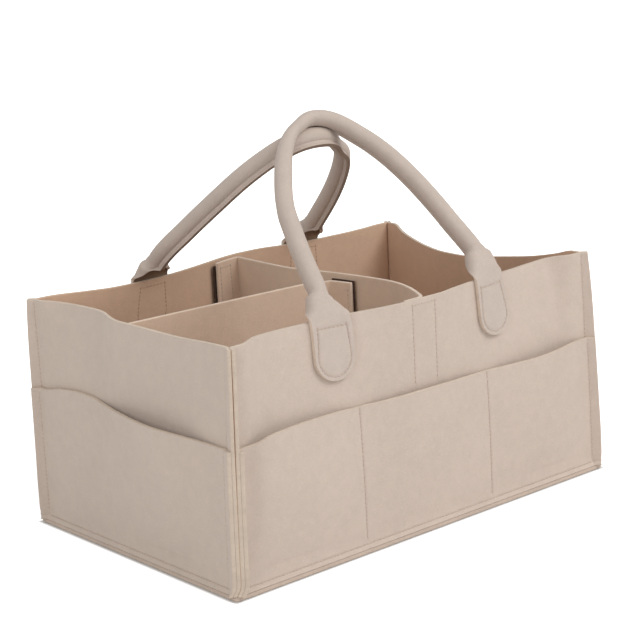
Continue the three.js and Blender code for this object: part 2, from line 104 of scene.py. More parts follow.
# Handles: arches of a strip that is flat at its tabs and rolled above them; 1 is the right foot, -1 the left
HANDLE_HALF_SPAN = 81
HANDLE_RISE = {"front": 167.5, "back": 151.0}
HANDLE_LEAN = {"front": 43.5, "back": 44.65}
HANDLE_SWAY = {"front": 8.2, "back": 16.2}
TAB_LEAN = {"front": 10, "back": 16}
TAB_WIDTH = 34.5
TAB_BOTTOM = 132.5
TAB_CORNER = 17
FOOT_BEND = 28
LEVEL_LENGTH = 20
SLOPE_LENGTH = 16
ROLL_LENGTH = {1: 27, -1: 22}
TUBE_RADIUS = 6.75
LIP_TURN = 2
LIP_FELT = 1.7
LIP_SLIT = 0.4
SEAM_START = 9
CORE_RADIUS = 2.8
CORE_INSET = 8

# Tapes and flaps
TAPE = 1.2
TAPE_CENTRE = 3
FLAP_WIDTH = 22
LOOP_WIDTH = 25
HOOK_WIDTH = 20
HOOK_SHOW = 3

# Places that follow from these
FLOOR_TOP = FELT + GAP
FLARE_TOP = FLOOR_TOP + SEAM_FLARE_HEIGHT
LIP_TOP = FLARE_TOP + CORNER_LIP_FADE
HALF_LENGTH = BASE_LENGTH / 2 - SEAM_FLARE - LAYER - FELT / 2
HALF_WIDTH = BASE_WIDTH / 2 - SEAM_FLARE - LAYER - FELT / 2
LONG_RUN = HALF_LENGTH - FLAT_CORNER_RUN
END_RUN = HALF_WIDTH - FLAT_CORNER_RUN
WALL_INNER = HALF_WIDTH - FELT / 2
END_INNER = HALF_LENGTH - FELT / 2
LOOP_NEAR = GAP
HOOK_NEAR = LOOP_NEAR + TAPE + GAP
FLAP_NEAR = HOOK_NEAR + TAPE + GAP

# Dividers: how their ends follow the long walls, and the heights of their felt and tapes
WALL_PULL_START = 45
WALL_PULL_RUN = 60
DIVIDER_BOTTOM = FLOOR_TOP
DIVIDER_TOP = 175.8
LONG_TOP = DIVIDER_TOP - FELT
TAPE_BOTTOM = DIVIDER_BOTTOM + 6
TAPE_TOP = DIVIDER_TOP - 3
INNER_FLAP_TOP = LONG_TOP - 1.8

# Soft edges, where felt or tape was cut
SOFT_EDGE = 0.7
SOFT_EDGE_STEPS = 3
BASE_SOFT_EDGE = 0.6
TAPE_SOFT_EDGE = 0.25

# Stitches, the dents that they pull in, and how high the thread lies in a dent
STITCH_PITCH = 3.2
STITCH_LENGTH = 3.0
THREAD_RADIUS = 0.4
LIP_STITCH = 1.7
TAB_STITCH_INSET = 3.1
TAB_STITCH_DROP = 5.5
TAB_STITCH_TAPER = 2
BASE_STITCH_HEIGHT = 6.7
CORNER_STITCH_START = 13
POCKET_STITCH_START = 12
TAPE_LINE_INSET = 1.2
TAPE_LINE_BOTTOM = 116
TAPE_LINE_TOP = 173
TAPE_LINE_DENT = 0.5
DENT_DEPTH = 0.5
DENT_WIDTH = 1.0
THREAD_OFF = 0.05
SEWN = FELT / 2 - DENT_DEPTH + 0.15
TAPE_SEWN = FELT / 2 - DENT_DEPTH * TAPE_LINE_DENT + 0.1


# Plain helpers

def rise(x):
    """A soft step from 0 to 1."""
    return (1 - np.cos(np.pi * np.clip(x, 0, 1))) / 2


def dent(distance):
    """How deep the felt is pulled in at a distance from a line of stitches."""
    return DENT_DEPTH * np.exp(-((distance / DENT_WIDTH) ** 2))


def dense(low, high, step, lines=(), near=3.0, fine=0.7, least=0.45):
    """Values from low to high, closer together beside the given lines and at both ends."""
    marks = [np.arange(low, high, step), [high, low + 1.0, high - 1.0]]
    marks += [np.arange(c - near, c + near, fine) for c in lines]
    values = np.unique(np.round(np.concatenate(marks), 3))
    values = values[(values >= low) & (values <= high)]
    keep = [values[0]]
    for v in values[1:-1]:
        if v - keep[-1] > least and high - v > least:
            keep.append(v)
    return np.array(keep + [values[-1]])


# Sides of the tub, each with coordinates along the wall, outwards and up

class Side:
    """One side: half its length, how far out its wall stands, how its rim sags and how its pockets gape."""

    def __init__(self, name, half, reach, sag, gape, edge, pocket_height, dip=0.0):
        self.name = name
        self.half = half
        self.run = half - FLAT_CORNER_RUN
        self.reach = reach
        self.sag = sag
        self.dip = dip
        self.gape = gape
        self.edge = edge
        self.pocket_height = pocket_height

    def place(self, along, out, z):
        """A point of the side in the shared frame, moved by the tub's slack."""
        along, out, z = np.broadcast_arrays(along, out, z)
        order = {
            "front": (along, -out, z),
            "back": (along, out, z),
            "left_end": (-out, along, z),
            "right_end": (out, along, z),
        }
        return tub_point(np.stack(order[self.name], axis=-1).astype(float))

    def rim(self, t):
        """Height of the rim, lower where the wall is drawn in."""
        sag = self.sag(t)
        return RIM_HEIGHT - sag ** 2 / RIM_HEIGHT - self.dip * sag / RIGHT_SAG

    def inward(self, t, z):
        """How far the wall is drawn in, which grows towards the rim."""
        share = np.clip((z - LIP_TOP) / (self.rim(t) - LIP_TOP), 0, 1.05)
        return self.sag(t) * share ** SAG_POWER

    def belly(self, t, z):
        """How far the pocket stands off the wall, which grows towards its edge."""
        share = np.clip((z - LIP_TOP) / (self.edge(t) - LIP_TOP), 0, 1)
        return self.gape(t) * share ** POCKET_FULLNESS

    def run_out(self, layer, t, z):
        """Middle of a layer of felt on the straight run of the side, measured outwards."""
        return self.reach + flare(z) + layer * LAYER - self.inward(t, z) + layer * self.belly(t, z)

    def surface(self, layer, t, z, shift):
        """Points beside the middle of a layer, shifted outwards."""
        return self.place(t, self.run_out(layer, t, z) + shift, z)


def tub_point(point, stiff=False):
    """The slack of the whole tub: its ends lean in, its rim spreads at the left and narrows at the right.

    The front corners stand a little higher, and the near ridge turns to the front. A stiff piece
    stands upright beside a leaning end.
    """
    x, y, z = np.moveaxis(point, -1, 0)
    out = ((-x - HALF_LENGTH) + (-y - HALF_WIDTH)) * DIAGONAL
    turn = RIDGE_LEAN * np.maximum(out - RIDGE_LEAN_START, 0) * rise(z / RIDGE_LEAN_HEIGHT) * DIAGONAL
    share = rise((np.abs(x) - RIM_SKEW_START) / (HALF_LENGTH - RIM_SKEW_START))
    lift = np.clip((z - LIP_TOP) / (RIM_HEIGHT - LIP_TOP), 0, 1)
    spread = np.where(x < 0, LEFT_RIM_SPREAD, -RIGHT_RIM_PINCH) * share * lift ** RIM_SPREAD_POWER
    lean = np.where(x < 0, LEFT_END_LEAN, -RIGHT_END_LEAN) * share * (1.0 if stiff else lift)
    corner = FRONT_CORNER_RISE * share * lift ** 2 * rise((-y - FRONT_CORNER_START) / FRONT_CORNER_RUN)
    return np.stack([x + lean + turn, y * (1 + spread / HALF_WIDTH) - turn, z + corner], axis=-1)


def flare(z):
    """How far the felt turns out into the base seam."""
    share = np.clip((FLARE_TOP - z) / SEAM_FLARE_HEIGHT, 0, 1)
    return SEAM_FLARE * share ** SEAM_FLARE_POWER


def through(marks):
    """A smooth line through marks given as (place, value), which never overshoots them."""
    x, y = np.array(marks, float).T
    step = np.diff(y) / np.diff(x)
    same = step[:-1] * step[1:] > 0
    slope = np.zeros_like(y)
    slope[1:-1] = np.where(same, 2 * step[:-1] * step[1:] / np.where(same, step[:-1] + step[1:], 1), 0)

    def at(t):
        t = np.clip(t, x[0], x[-1])
        k = np.clip(np.searchsorted(x, t) - 1, 0, len(x) - 2)
        run = x[k + 1] - x[k]
        u = (t - x[k]) / run
        ends = y[k] * (1 + 2 * u) * (1 - u) ** 2 + y[k + 1] * u ** 2 * (3 - 2 * u)
        return ends + run * (slope[k] * u * (1 - u) ** 2 + slope[k + 1] * u ** 2 * (u - 1))

    return at


# How far the standing corner seams reach out, and how far they part at their edge, by height
lip_reach = through([(FLOOR_TOP, 6.0), (8, 8.6), (14, 9.4), (30, 9.4), (60, 8.9), (100, 8.2), (140, 7.4),
                     (165, 6.3), (177, 5.6)])
lip_open = through([(FLOOR_TOP, 0.02), (50, 0.06), (85, 0.16), (112, 0.3), (140, 0.3), (177, 0.18)])

# How far the rim of each wall is drawn in, from its left end to its right
TAB_INNER = HANDLE_HALF_SPAN - TAB_WIDTH / 2
TAB_OUTER = HANDLE_HALF_SPAN + TAB_WIDTH / 2
front_sag = through([(-LONG_RUN, 0), (-145, 13), (-119, 16), (-TAB_OUTER, 14), (-TAB_INNER, 9), (-38, 2.5),
                     (-17, 0), (20, 0), (41, 4), (TAB_INNER, 8.5), (TAB_OUTER, 14), (128, 16.5),
                     (152, 14.5), (LONG_RUN, 0)])
back_sag = through([(-LONG_RUN, 0), (-140, 7), (-115, 11), (-TAB_OUTER, 11.5), (-TAB_INNER, 10), (-40, 6.5),
                    (-19, 2), (4, -4), (21, -6.5), (39, -5.5), (TAB_INNER, 1.5), (TAB_OUTER, 5.5),
                    (125, 5.5), (150, 3.5), (LONG_RUN, 0)])
right_sag = through([(-END_RUN, 0), (-90, 3.4), (-70, 6.4), (-50, 8.6), (-30, 10.8), (-10, 12.8), (10, 13.9),
                     (30, 13.7), (50, 12.1), (70, 9.1), (90, 4.8), (END_RUN, 0)])


def left_sag(t):
    near = rise((t - LEFT_SAG_START) / (LEFT_SAG_PEAK - LEFT_SAG_START))
    share = np.clip((END_RUN - t) / (END_RUN - LEFT_SAG_PEAK), 0, 1)
    far = np.sin(np.pi / 2 * share) ** LEFT_SAG_POWER
    return LEFT_SAG * np.where(t < LEFT_SAG_PEAK, near, far)


# Each row of pockets, from its left end to its right: how far it gapes and how high its edge stands
long_gape = through([(-LONG_RUN, 0), (-160, 5.5), (-140, 7), (-110, 5), (-85, 2.5), (-POCKET_SEAM, 0),
                     (-40, 2), (0, 3), (40, 2), (POCKET_SEAM, 0), (90, 3), (125, 6.5), (150, 6),
                     (LONG_RUN, 0)])
long_edge = through([(-LONG_RUN, 106.8), (-154, 111), (-130, 112.2), (-90, 111.6), (-POCKET_SEAM, 110),
                     (0, 110), (41, 109.2), (POCKET_SEAM, 108), (105, 107.5), (130, 107.7), (160, 109.2),
                     (LONG_RUN, 109.5)])
left_edge = through([(-END_RUN, 107), (-50, 110.7), (0, 111.5), (30, 111.8), (62, 113.3), (88, 111.8),
                     (END_RUN, 108.6)])


def right_edge(t):
    return END_POCKET_HEIGHT + END_POCKET_RISE * (1 - np.clip(t / END_RUN, -1, 1) ** 2)


def end_gape(t):
    near = rise((t + END_RUN) / (END_GAPE_PEAK + END_RUN))
    far = rise((END_GAPE_END - t) / (END_GAPE_END - END_GAPE_PEAK))
    return END_GAPE * np.where(t < END_GAPE_PEAK, near, far)


SIDES = {
    "front": Side("front", HALF_LENGTH, HALF_WIDTH, front_sag, long_gape, long_edge, LONG_POCKET_HEIGHT),
    "back": Side("back", HALF_LENGTH, HALF_WIDTH, back_sag, long_gape, long_edge, LONG_POCKET_HEIGHT),
    "left_end": Side("left_end", HALF_WIDTH, HALF_LENGTH, left_sag, end_gape, left_edge, END_POCKET_HEIGHT),
    "right_end": Side("right_end", HALF_WIDTH, HALF_LENGTH, right_sag, end_gape, right_edge,
                      END_POCKET_HEIGHT, RIGHT_RIM_DIP),
}


# Meshes

# An edge is sharp from this angle on; a filler bar's end starts at a share of its radius and widens in steps
SHARP_ANGLE = 50
BAR_END = 0.55
BAR_END_STEP = 0.25


def collect(obj):
    bpy.context.scene.collection.objects.link(obj)
    return obj


def new_piece(name, verts, faces, materials, face_slots=None):
    mesh = bpy.data.meshes.new(name)
    mesh.from_pydata((np.asarray(verts) * MM).tolist(), [], faces)
    for material in materials:
        mesh.materials.append(material)
    if face_slots is not None:
        mesh.polygons.foreach_set("material_index", np.asarray(face_slots, dtype=np.int32))
    mesh.polygons.foreach_set("use_smooth", np.ones(len(mesh.polygons), dtype=bool))
    mesh.update()
    return collect(bpy.data.objects.new(name, mesh))


def settle(obj):
    """Turns what the modifiers make into the object's own plain mesh."""
    graph = bpy.context.evaluated_depsgraph_get()
    mesh = bpy.data.meshes.new_from_object(obj.evaluated_get(graph))
    obj.modifiers.clear()
    old = obj.data
    obj.data = mesh
    bpy.data.meshes.remove(old)
    mesh.name = obj.name
    return obj


def soften(obj, width):
    """Rounds the cut edges: those with a weight, or else all sharp ones."""
    bevel = obj.modifiers.new("soft_edge", "BEVEL")
    bevel.width = width * MM
    bevel.segments = SOFT_EDGE_STEPS
    bevel.limit_method = "WEIGHT" if "bevel_weight_edge" in obj.data.attributes else "ANGLE"
    bevel.angle_limit = math.radians(SHARP_ANGLE)
    return settle(obj)


def mark_edges(mesh, rounded, sharp):
    """Weights the edges to round and marks the ones that stay sharp, each given as vertex pairs."""
    ends = np.empty(2 * len(mesh.edges), dtype=np.int64)
    mesh.edges.foreach_get("vertices", ends)
    ends = np.sort(ends.reshape(-1, 2), axis=1)
    size = len(mesh.vertices)
    key = ends[:, 0] * size + ends[:, 1]

    def found(pairs):
        pairs = np.sort(np.array(pairs, dtype=np.int64).reshape(-1, 2), axis=1)
        return np.isin(key, pairs[:, 0] * size + pairs[:, 1])

    weight = mesh.attributes.new("bevel_weight_edge", "FLOAT", "EDGE")
    weight.data.foreach_set("value", found(rounded).astype(np.float32))
    crease = mesh.attributes.new("sharp_edge", "BOOLEAN", "EDGE")
    crease.data.foreach_set("value", found(sharp))


def volume(verts, quads):
    """Six times the signed volume of a closed mesh, positive where its faces look outwards."""
    a, b, c, d = (verts[quads[:, k]] for k in range(4))
    return np.sum(a * np.cross(b, c)) + np.sum(a * np.cross(c, d))


def felt_solid(name, near, far, materials, width=SOFT_EDGE, joined=()):
    """A closed sheet of felt between two grids of points, with raw cut edges.

    The materials are for the faces, the cut edges and, when given, the near face. A joined end
    ("first" or "last" column) meets the next piece of the same sheet and is not rounded.
    """
    rows, columns = near.shape[:2]
    count = rows * columns
    verts = np.concatenate([near.reshape(-1, 3), far.reshape(-1, 3)])
    at = np.arange(count).reshape(rows, columns)
    a, b, c, d = at[:-1, :-1], at[:-1, 1:], at[1:, 1:], at[1:, :-1]
    flat = np.stack([a, b, c, d], axis=-1).reshape(-1, 4)
    faces = [flat, flat[:, ::-1] + count]
    rims = [at[0, ::-1], at[:, 0], at[-1, :], at[::-1, -1]]
    edges = [np.stack([r[:-1], r[1:], r[1:] + count, r[:-1] + count], axis=-1) for r in rims]
    quads = np.concatenate(faces + edges)
    near_slot = 2 if len(materials) > 2 else 0
    slots = np.concatenate([np.full(len(flat), near_slot), np.zeros(len(flat)),
                            np.ones(sum(len(e) for e in edges))]).astype(int)
    if volume(verts, quads) < 0:
        quads = quads[:, ::-1]
    obj = new_piece(name, verts, quads.tolist(), materials, slots)
    rounded, sharp = [], []
    for line, end in ((at[0], None), (at[-1], None), (at[:, 0], "first"), (at[:, -1], "last")):
        pairs = np.stack([line[:-1], line[1:]], axis=-1)
        (sharp if end in joined else rounded).extend(pairs.tolist() + (pairs + count).tolist())
    for column, end in ((0, "first"), (-1, "last")):
        for corner in (at[0, column], at[-1, column]):
            (sharp if end in joined else rounded).append([corner, corner + count])
    mark_edges(obj.data, rounded, sharp or [[0, 0]])
    return soften(obj, width)


# Rows and columns of a panel: along its run, up its foot, along a lip from its edge in, round a bend
PANEL_STEP = 3.0
FOOT_ROWS = np.array([3.3, 4.2, 5.2, 5.8, 6.3, 6.8, 7.3, 7.9, 8.7, 10.3, 12, 14, LIP_TOP])
BODY_ROWS = 51
UPRIGHT_ROWS = 28
RIM_ROWS = (0.006, 0.994)
LIP_STEPS = np.array([14, 12.6, 9, 6, 4, 2, 0]) / 14
BEND_STEPS = np.array([0.25, 0.5, 0.75, 1.0])


def lip_offset(layer):
    """How far the middle of a layer's lip lies from the corner's diagonal."""
    return (LAYER / 2 + layer * LAYER) * LIP_PRESS


def corner_section(side, layer, z):
    """A panel's section past its straight run: points along and out, and which way they face."""
    offset, diagonal = layer * LAYER, lip_offset(layer)
    half, out, reach = side.half + flare(z), side.reach + flare(z), lip_reach(z)
    tip = np.array([half + (reach - diagonal) * DIAGONAL, out + (reach + diagonal) * DIAGONAL])
    fold = np.array([half + offset - diagonal * math.sqrt(2), out + offset])
    length = np.linalg.norm(tip - fold)
    foot = fold + (tip - fold) * min(CORNER_ROUND, 0.6 * length) / length
    run_end = fold - [CORNER_ROUND, 0]
    q = BEND_STEPS[:, None]
    lip = foot + (tip - foot) * LIP_STEPS[:, None]
    bend = (1 - q) ** 2 * foot + 2 * q * (1 - q) * fold + q ** 2 * run_end
    lip_turn, run_turn = np.array([-DIAGONAL, DIAGONAL]), np.array([0.0, 1.0])
    bend_turn = lip_turn + (run_turn - lip_turn) * q
    bend_turn /= np.linalg.norm(bend_turn, axis=1)[:, None]
    points = np.concatenate([lip, bend, [run_end - [CORNER_MARGIN, 0]]])
    turns = np.concatenate([np.tile(lip_turn, (len(lip), 1)), bend_turn, [run_turn]])
    return points, turns


def panel(side, layer, main, dents, name, materials):
    """One layer of felt on one side: its straight run, rounded corner bends and standing lips."""
    pressed = FELT / 2 * LIP_PRESS + LIP_SWELL
    lip_half = np.full(len(LIP_STEPS), pressed)
    corner_half = np.concatenate([lip_half, np.linspace(pressed, FELT / 2, len(BEND_STEPS) + 1)])
    count = len(corner_half)
    opening = np.zeros(count)
    if layer == 0:
        opening[:len(LIP_STEPS)] = LIP_STEPS
    ends = np.full(count, side.run)
    t = np.concatenate([-ends, main, ends])
    tops = side.rim(t) if layer == 0 else side.edge(t)
    body = np.sort(np.append(np.linspace(0, 1, BODY_ROWS + 1)[1:], RIM_ROWS))[:, None]
    heights = np.concatenate([np.tile(FOOT_ROWS[:, None], len(t)), LIP_TOP + body * (tops - LIP_TOP)])
    run_half, run_turn = np.full(len(main), FELT / 2), np.tile([0.0, 1.0], (len(main), 1))
    near, far = [], []
    for z in heights:
        corner, corner_turn = corner_section(side, layer, z[0])
        run = np.stack([main, side.run_out(layer, main, z[count:-count])], axis=-1)
        line = np.concatenate([corner * [-1, 1], run, corner[::-1]])
        turn = np.concatenate([corner_turn * [-1, 1], run_turn, corner_turn[::-1]])
        opened = corner_half - opening * lip_open(z[0])
        pull = np.concatenate([opened, run_half, opened[::-1]])
        push = np.concatenate([corner_half, run_half, corner_half[::-1]]) - dents(line[:, 0], z)
        near.append(side.place(*(line - turn * pull[:, None]).T, z))
        far.append(side.place(*(line + turn * push[:, None]).T, z))
    return felt_solid(name, np.array(near), np.array(far), materials)


def wall_pull(points, stiff=True):
    """Moves the ends of the cross divider, and the tapes there, along with the long walls' lean."""
    moved = np.array(points, float)
    x, y, z = np.moveaxis(moved, -1, 0)
    for name, sign in (("front", -1), ("back", 1)):
        share = rise((sign * y - WALL_PULL_START) / WALL_PULL_RUN)
        moved[..., 1] -= sign * SIDES[name].inward(x, z) * share
    return tub_point(moved, stiff)


def upright(name, line, bottom, top, thickness, materials, width=SOFT_EDGE, joined=(), stiff=True):
    """An upright sheet whose middle follows a line in plan; its top may change along the line."""
    line = np.asarray(line, float)
    tangent = np.gradient(line, axis=0)
    tangent /= np.linalg.norm(tangent, axis=1)[:, None]
    normal = np.stack([tangent[:, 1], -tangent[:, 0]], axis=-1)
    tops = np.broadcast_to(np.asarray(top, float), (len(line),))
    shares = np.sort(np.append(np.linspace(0, 1, UPRIGHT_ROWS), RIM_ROWS))
    faces = []
    for sign in (-1, 1):
        xy = line + sign * normal * thickness / 2
        faces.append(wall_pull([np.column_stack([xy, bottom + (tops - bottom) * k]) for k in shares], stiff))
    return felt_solid(name, faces[0], faces[1], materials, width, joined)


def resample(points, step):
    """Points at even steps along a line."""
    points = np.asarray(points, float)
    run = np.concatenate([[0], np.cumsum(np.linalg.norm(np.diff(points, axis=0), axis=1))])
    count = max(2, int(math.ceil(run[-1] / step)) + 1)
    at = np.linspace(0, run[-1], count)
    return np.column_stack([np.interp(at, run, points[:, k]) for k in range(points.shape[1])])


def filler_bar(name, path, radius, material, sides=16):
    """A round bar along a path, with rounded ends."""
    path = np.asarray(path, float)
    tangent = np.gradient(path, axis=0)
    tangent /= np.linalg.norm(tangent, axis=1)[:, None]
    up = np.cross(tangent[0], [0, 0, 1.0])
    up /= np.linalg.norm(up)
    rings, faces = [], []
    for k, (p, d) in enumerate(zip(path, tangent)):
        up = up - d * np.dot(up, d)
        up /= np.linalg.norm(up)
        side = np.cross(d, up)
        from_end = min(k, len(path) - 1 - k)
        r = radius * min(1.0, BAR_END + BAR_END_STEP * from_end)
        a = np.linspace(0, 2 * np.pi, sides, endpoint=False)[:, None]
        rings.append(p + r * (np.cos(a) * up + np.sin(a) * side))
    verts = np.concatenate(rings + [path[:1], path[-1:]])
    for k in range(len(path) - 1):
        for i in range(sides):
            j = (i + 1) % sides
            faces.append([k * sides + i, k * sides + j, (k + 1) * sides + j, (k + 1) * sides + i])
    first, last = len(verts) - 2, len(verts) - 1
    top = (len(path) - 1) * sides
    for i in range(sides):
        j = (i + 1) % sides
        faces.append([first, j, i])
        faces.append([last, top + i, top + j])
    return new_piece(name, verts, faces, [material])


# Materials

def srgb(r, g, b):
    """A colour as seen on a screen, in the linear values that Blender takes."""
    def linear(v):
        v /= 255
        return v / 12.92 if v <= 0.04045 else ((v + 0.055) / 1.055) ** 2.4
    return (linear(r), linear(g), linear(b), 1.0)


class Nodes:
    """Small helper to place and wire nodes of one tree."""

    def __init__(self, tree):
        self.tree = tree

    def add(self, kind, **values):
        node = self.tree.nodes.new(kind)
        for key, value in values.items():
            setattr(node, key, value)
        return node

    def link(self, source, target):
        self.tree.links.new(source, target)

    def noise(self, vector, scale, detail=2.0, roughness=0.5, distortion=0.0):
        node = self.add("ShaderNodeTexNoise")
        node.inputs["Scale"].default_value = scale
        node.inputs["Detail"].default_value = detail
        node.inputs["Roughness"].default_value = roughness
        node.inputs["Distortion"].default_value = distortion
        self.link(vector, node.inputs["Vector"])
        return node.outputs["Fac"]

    def math(self, operation, a, b):
        node = self.add("ShaderNodeMath", operation=operation)
        for socket, value in zip(node.inputs, (a, b)):
            if isinstance(value, (int, float)):
                socket.default_value = value
            else:
                self.link(value, socket)
        return node.outputs[0]

    def scaled(self, vector, scale, turn=(0, 0, 0)):
        node = self.add("ShaderNodeMapping")
        node.inputs["Scale"].default_value = scale
        node.inputs["Rotation"].default_value = [math.radians(a) for a in turn]
        self.link(vector, node.inputs["Vector"])
        return node.outputs[0]

    def spread(self, value, low, high, out_low, out_high):
        node = self.add("ShaderNodeMapRange")
        for key, number in (("From Min", low), ("From Max", high), ("To Min", out_low), ("To Max", out_high)):
            node.inputs[key].default_value = number
        self.link(value, node.inputs["Value"])
        return node.outputs[0]

    def mix(self, factor, a, b, kind="MIX"):
        node = self.add("ShaderNodeMix", data_type="RGBA", blend_type=kind)
        for socket, value in ((node.inputs[0], factor), (node.inputs[6], a), (node.inputs[7], b)):
            if isinstance(value, (int, float, tuple)):
                socket.default_value = value
            else:
                self.link(value, socket)
        return node.outputs[2]


def new_group(name, inputs, outputs):
    group = bpy.data.node_groups.new(name, "ShaderNodeTree")
    for label, kind, value in inputs:
        socket = group.interface.new_socket(label, in_out="INPUT", socket_type=kind)
        if value is not None:
            socket.default_value = value
    for label, kind in outputs:
        group.interface.new_socket(label, in_out="OUTPUT", socket_type=kind)
    return group


def felt_group():
    """Pressed fibre: soft blotches, mottling, fibres that lie across each other, and pills."""
    group = new_group(
        "pressed_fibre",
        [("Vector", "NodeSocketVector", None), ("Colour", "NodeSocketColor", None),
         ("Fleck Colour", "NodeSocketColor", None), ("Mottle", "NodeSocketFloat", 1.0)],
        [("Colour", "NodeSocketColor"), ("Height", "NodeSocketFloat"), ("Roughness", "NodeSocketFloat")])
    n = Nodes(group)
    start = n.add("NodeGroupInput")
    end = n.add("NodeGroupOutput")
    vector = start.outputs["Vector"]
    blotch = n.noise(vector, 16, 3, 0.55)
    mottle = n.noise(vector, 130, 4, 0.62, 0.4)
    fibres = None
    for turn in ((20, 0, 35), (70, 40, -50), (-35, 65, 10)):
        warped = n.scaled(vector, (260, 1500, 1500), turn)
        layer = n.noise(warped, 1.0, 3, 0.6, 1.2)
        fibres = layer if fibres is None else n.math("MAXIMUM", fibres, layer)
    pills = n.noise(vector, 620, 2, 0.5)
    light = 1.0
    tones = ((blotch, 0.3, 0.7, 0.045), (mottle, 0.3, 0.7, 0.05), (fibres, 0.42, 0.72, 0.07))
    for tone, low, high, depth in tones:
        shade = n.math("MULTIPLY", n.spread(tone, low, high, -depth, depth), start.outputs["Mottle"])
        light = n.math("ADD", light, shade)
    toned = n.add("ShaderNodeVectorMath", operation="SCALE")
    n.link(start.outputs["Colour"], toned.inputs[0])
    n.link(light, toned.inputs["Scale"])
    fleck = n.spread(pills, 0.60, 0.74, 0.0, 0.32)
    coloured = n.mix(fleck, toned.outputs[0], start.outputs["Fleck Colour"])
    n.link(coloured, end.inputs["Colour"])
    height = n.math("ADD", n.math("MULTIPLY", fibres, 0.55), n.math("MULTIPLY", mottle, 0.9))
    height = n.math("ADD", height, n.math("MULTIPLY", pills, 0.35))
    n.link(height, end.inputs["Height"])
    n.link(n.spread(mottle, 0.3, 0.7, 0.86, 1.0), end.inputs["Roughness"])
    return group


FELT_GROUP = felt_group()

# Depth of the fibres and of the tape's weave, in metres
FELT_RELIEF = 0.0009
TAPE_RELIEF = 0.0005


def new_material(name):
    material = bpy.data.materials.new(name)
    material.use_nodes = True
    nodes = Nodes(material.node_tree)
    shader = material.node_tree.nodes["Principled BSDF"]
    return material, nodes, shader


def felt_material(name, colour, fleck, mottle=0.6, bump=0.35, streak=None):
    material, n, shader = new_material(name)
    place = n.add("ShaderNodeTexCoord").outputs["Object"]
    if streak is not None:
        place = n.scaled(place, streak)
    fibre = n.add("ShaderNodeGroup", node_tree=FELT_GROUP)
    fibre.inputs["Colour"].default_value = colour
    fibre.inputs["Fleck Colour"].default_value = fleck
    fibre.inputs["Mottle"].default_value = mottle
    n.link(place, fibre.inputs["Vector"])
    n.link(fibre.outputs["Colour"], shader.inputs["Base Color"])
    n.link(fibre.outputs["Roughness"], shader.inputs["Roughness"])
    relief = n.add("ShaderNodeBump")
    relief.inputs["Strength"].default_value = bump
    relief.inputs["Distance"].default_value = FELT_RELIEF
    n.link(fibre.outputs["Height"], relief.inputs["Height"])
    n.link(relief.outputs[0], shader.inputs["Normal"])
    shader.inputs["Specular IOR Level"].default_value = 0.18
    shader.inputs["Sheen Weight"].default_value = 0.25
    shader.inputs["Sheen Roughness"].default_value = 0.55
    shader.inputs["Sheen Tint"].default_value = (1.0, 0.93, 0.86, 1.0)
    return material


def tape_material(name, colour, groove, rows, bump):
    """Woven tape: fine rows one way, small bristles or loops as a bump."""
    material, n, shader = new_material(name)
    place = n.add("ShaderNodeTexCoord").outputs["Object"]
    wave = n.add("ShaderNodeTexWave", wave_type="BANDS", bands_direction="Z")
    wave.inputs["Scale"].default_value = rows
    wave.inputs["Distortion"].default_value = 1.5
    wave.inputs["Detail"].default_value = 2
    n.link(place, wave.inputs["Vector"])
    fuzz = n.noise(place, 900, 3, 0.6)
    tone = n.math("MULTIPLY", wave.outputs["Fac"], n.spread(fuzz, 0.3, 0.7, 0.6, 1.0))
    n.link(n.mix(tone, groove, colour), shader.inputs["Base Color"])
    n.link(n.spread(fuzz, 0.3, 0.7, 0.6, 0.95), shader.inputs["Roughness"])
    relief = n.add("ShaderNodeBump")
    relief.inputs["Strength"].default_value = bump
    relief.inputs["Distance"].default_value = TAPE_RELIEF
    n.link(n.math("ADD", tone, fuzz), relief.inputs["Height"])
    n.link(relief.outputs[0], shader.inputs["Normal"])
    return material


def thread_material(name, colour, dark):
    material, n, shader = new_material(name)
    place = n.add("ShaderNodeTexCoord").outputs["Object"]
    twist = n.noise(n.scaled(place, (1, 1, 1), (30, 20, 45)), 1800, 2, 0.5)
    n.link(n.mix(twist, dark, colour), shader.inputs["Base Color"])
    n.link(n.spread(twist, 0.3, 0.7, 0.55, 0.8), shader.inputs["Roughness"])
    return material


BEIGE = srgb(200, 184, 171)
BEIGE_FLECK = srgb(216, 202, 190)
TUB_FELT = felt_material("tub_felt", BEIGE, BEIGE_FLECK)
# Cut edges: lighter and streaked like raw felt, and lighter again as painted highlight where the rim's edge
# catches the light
TUB_CUT_EDGE_AND_HIGHLIGHT = felt_material("tub_felt_cut_edge_and_highlight", srgb(207, 190, 172), srgb(222, 207, 191), 1.2, 0.5, (1, 1, 2.5))
# Cut edge of the base, a little darker than the felt: painted shade of the dark line under the hem
BASE_CUT_EDGE_PAINTED_SHADE = felt_material("base_felt_cut_edge_painted_shade", srgb(196, 178, 163), srgb(210, 194, 179), 1.0, 0.5)
# Inner faces of the walls: the same felt in a warmer, browner colour, painted shade and warm bounce light of
# the inside
TUB_INSIDE_PAINTED_SHADE = felt_material("tub_felt_inside_painted_shade", srgb(213, 181, 155), srgb(224, 197, 174))
# Felt of the handles: the tub's felt made a little darker, painted shade of the rolled tube
HANDLE_FELT_PAINTED_SHADE = felt_material("handle_felt", srgb(194, 179, 168), srgb(210, 197, 187))
# Cut edges where the tube's lips meet in the seam: darker brown, painted shade
HANDLE_SEAM_PAINTED_SHADE = felt_material("handle_felt_seam_painted_shade", srgb(150, 126, 108), srgb(168, 145, 127))
# Inner face of the strap, inside the rolled tube: dark brown painted shade
HANDLE_INSIDE_PAINTED_SHADE = felt_material("handle_felt_inside_painted_shade", srgb(142, 116, 95), srgb(160, 134, 112))
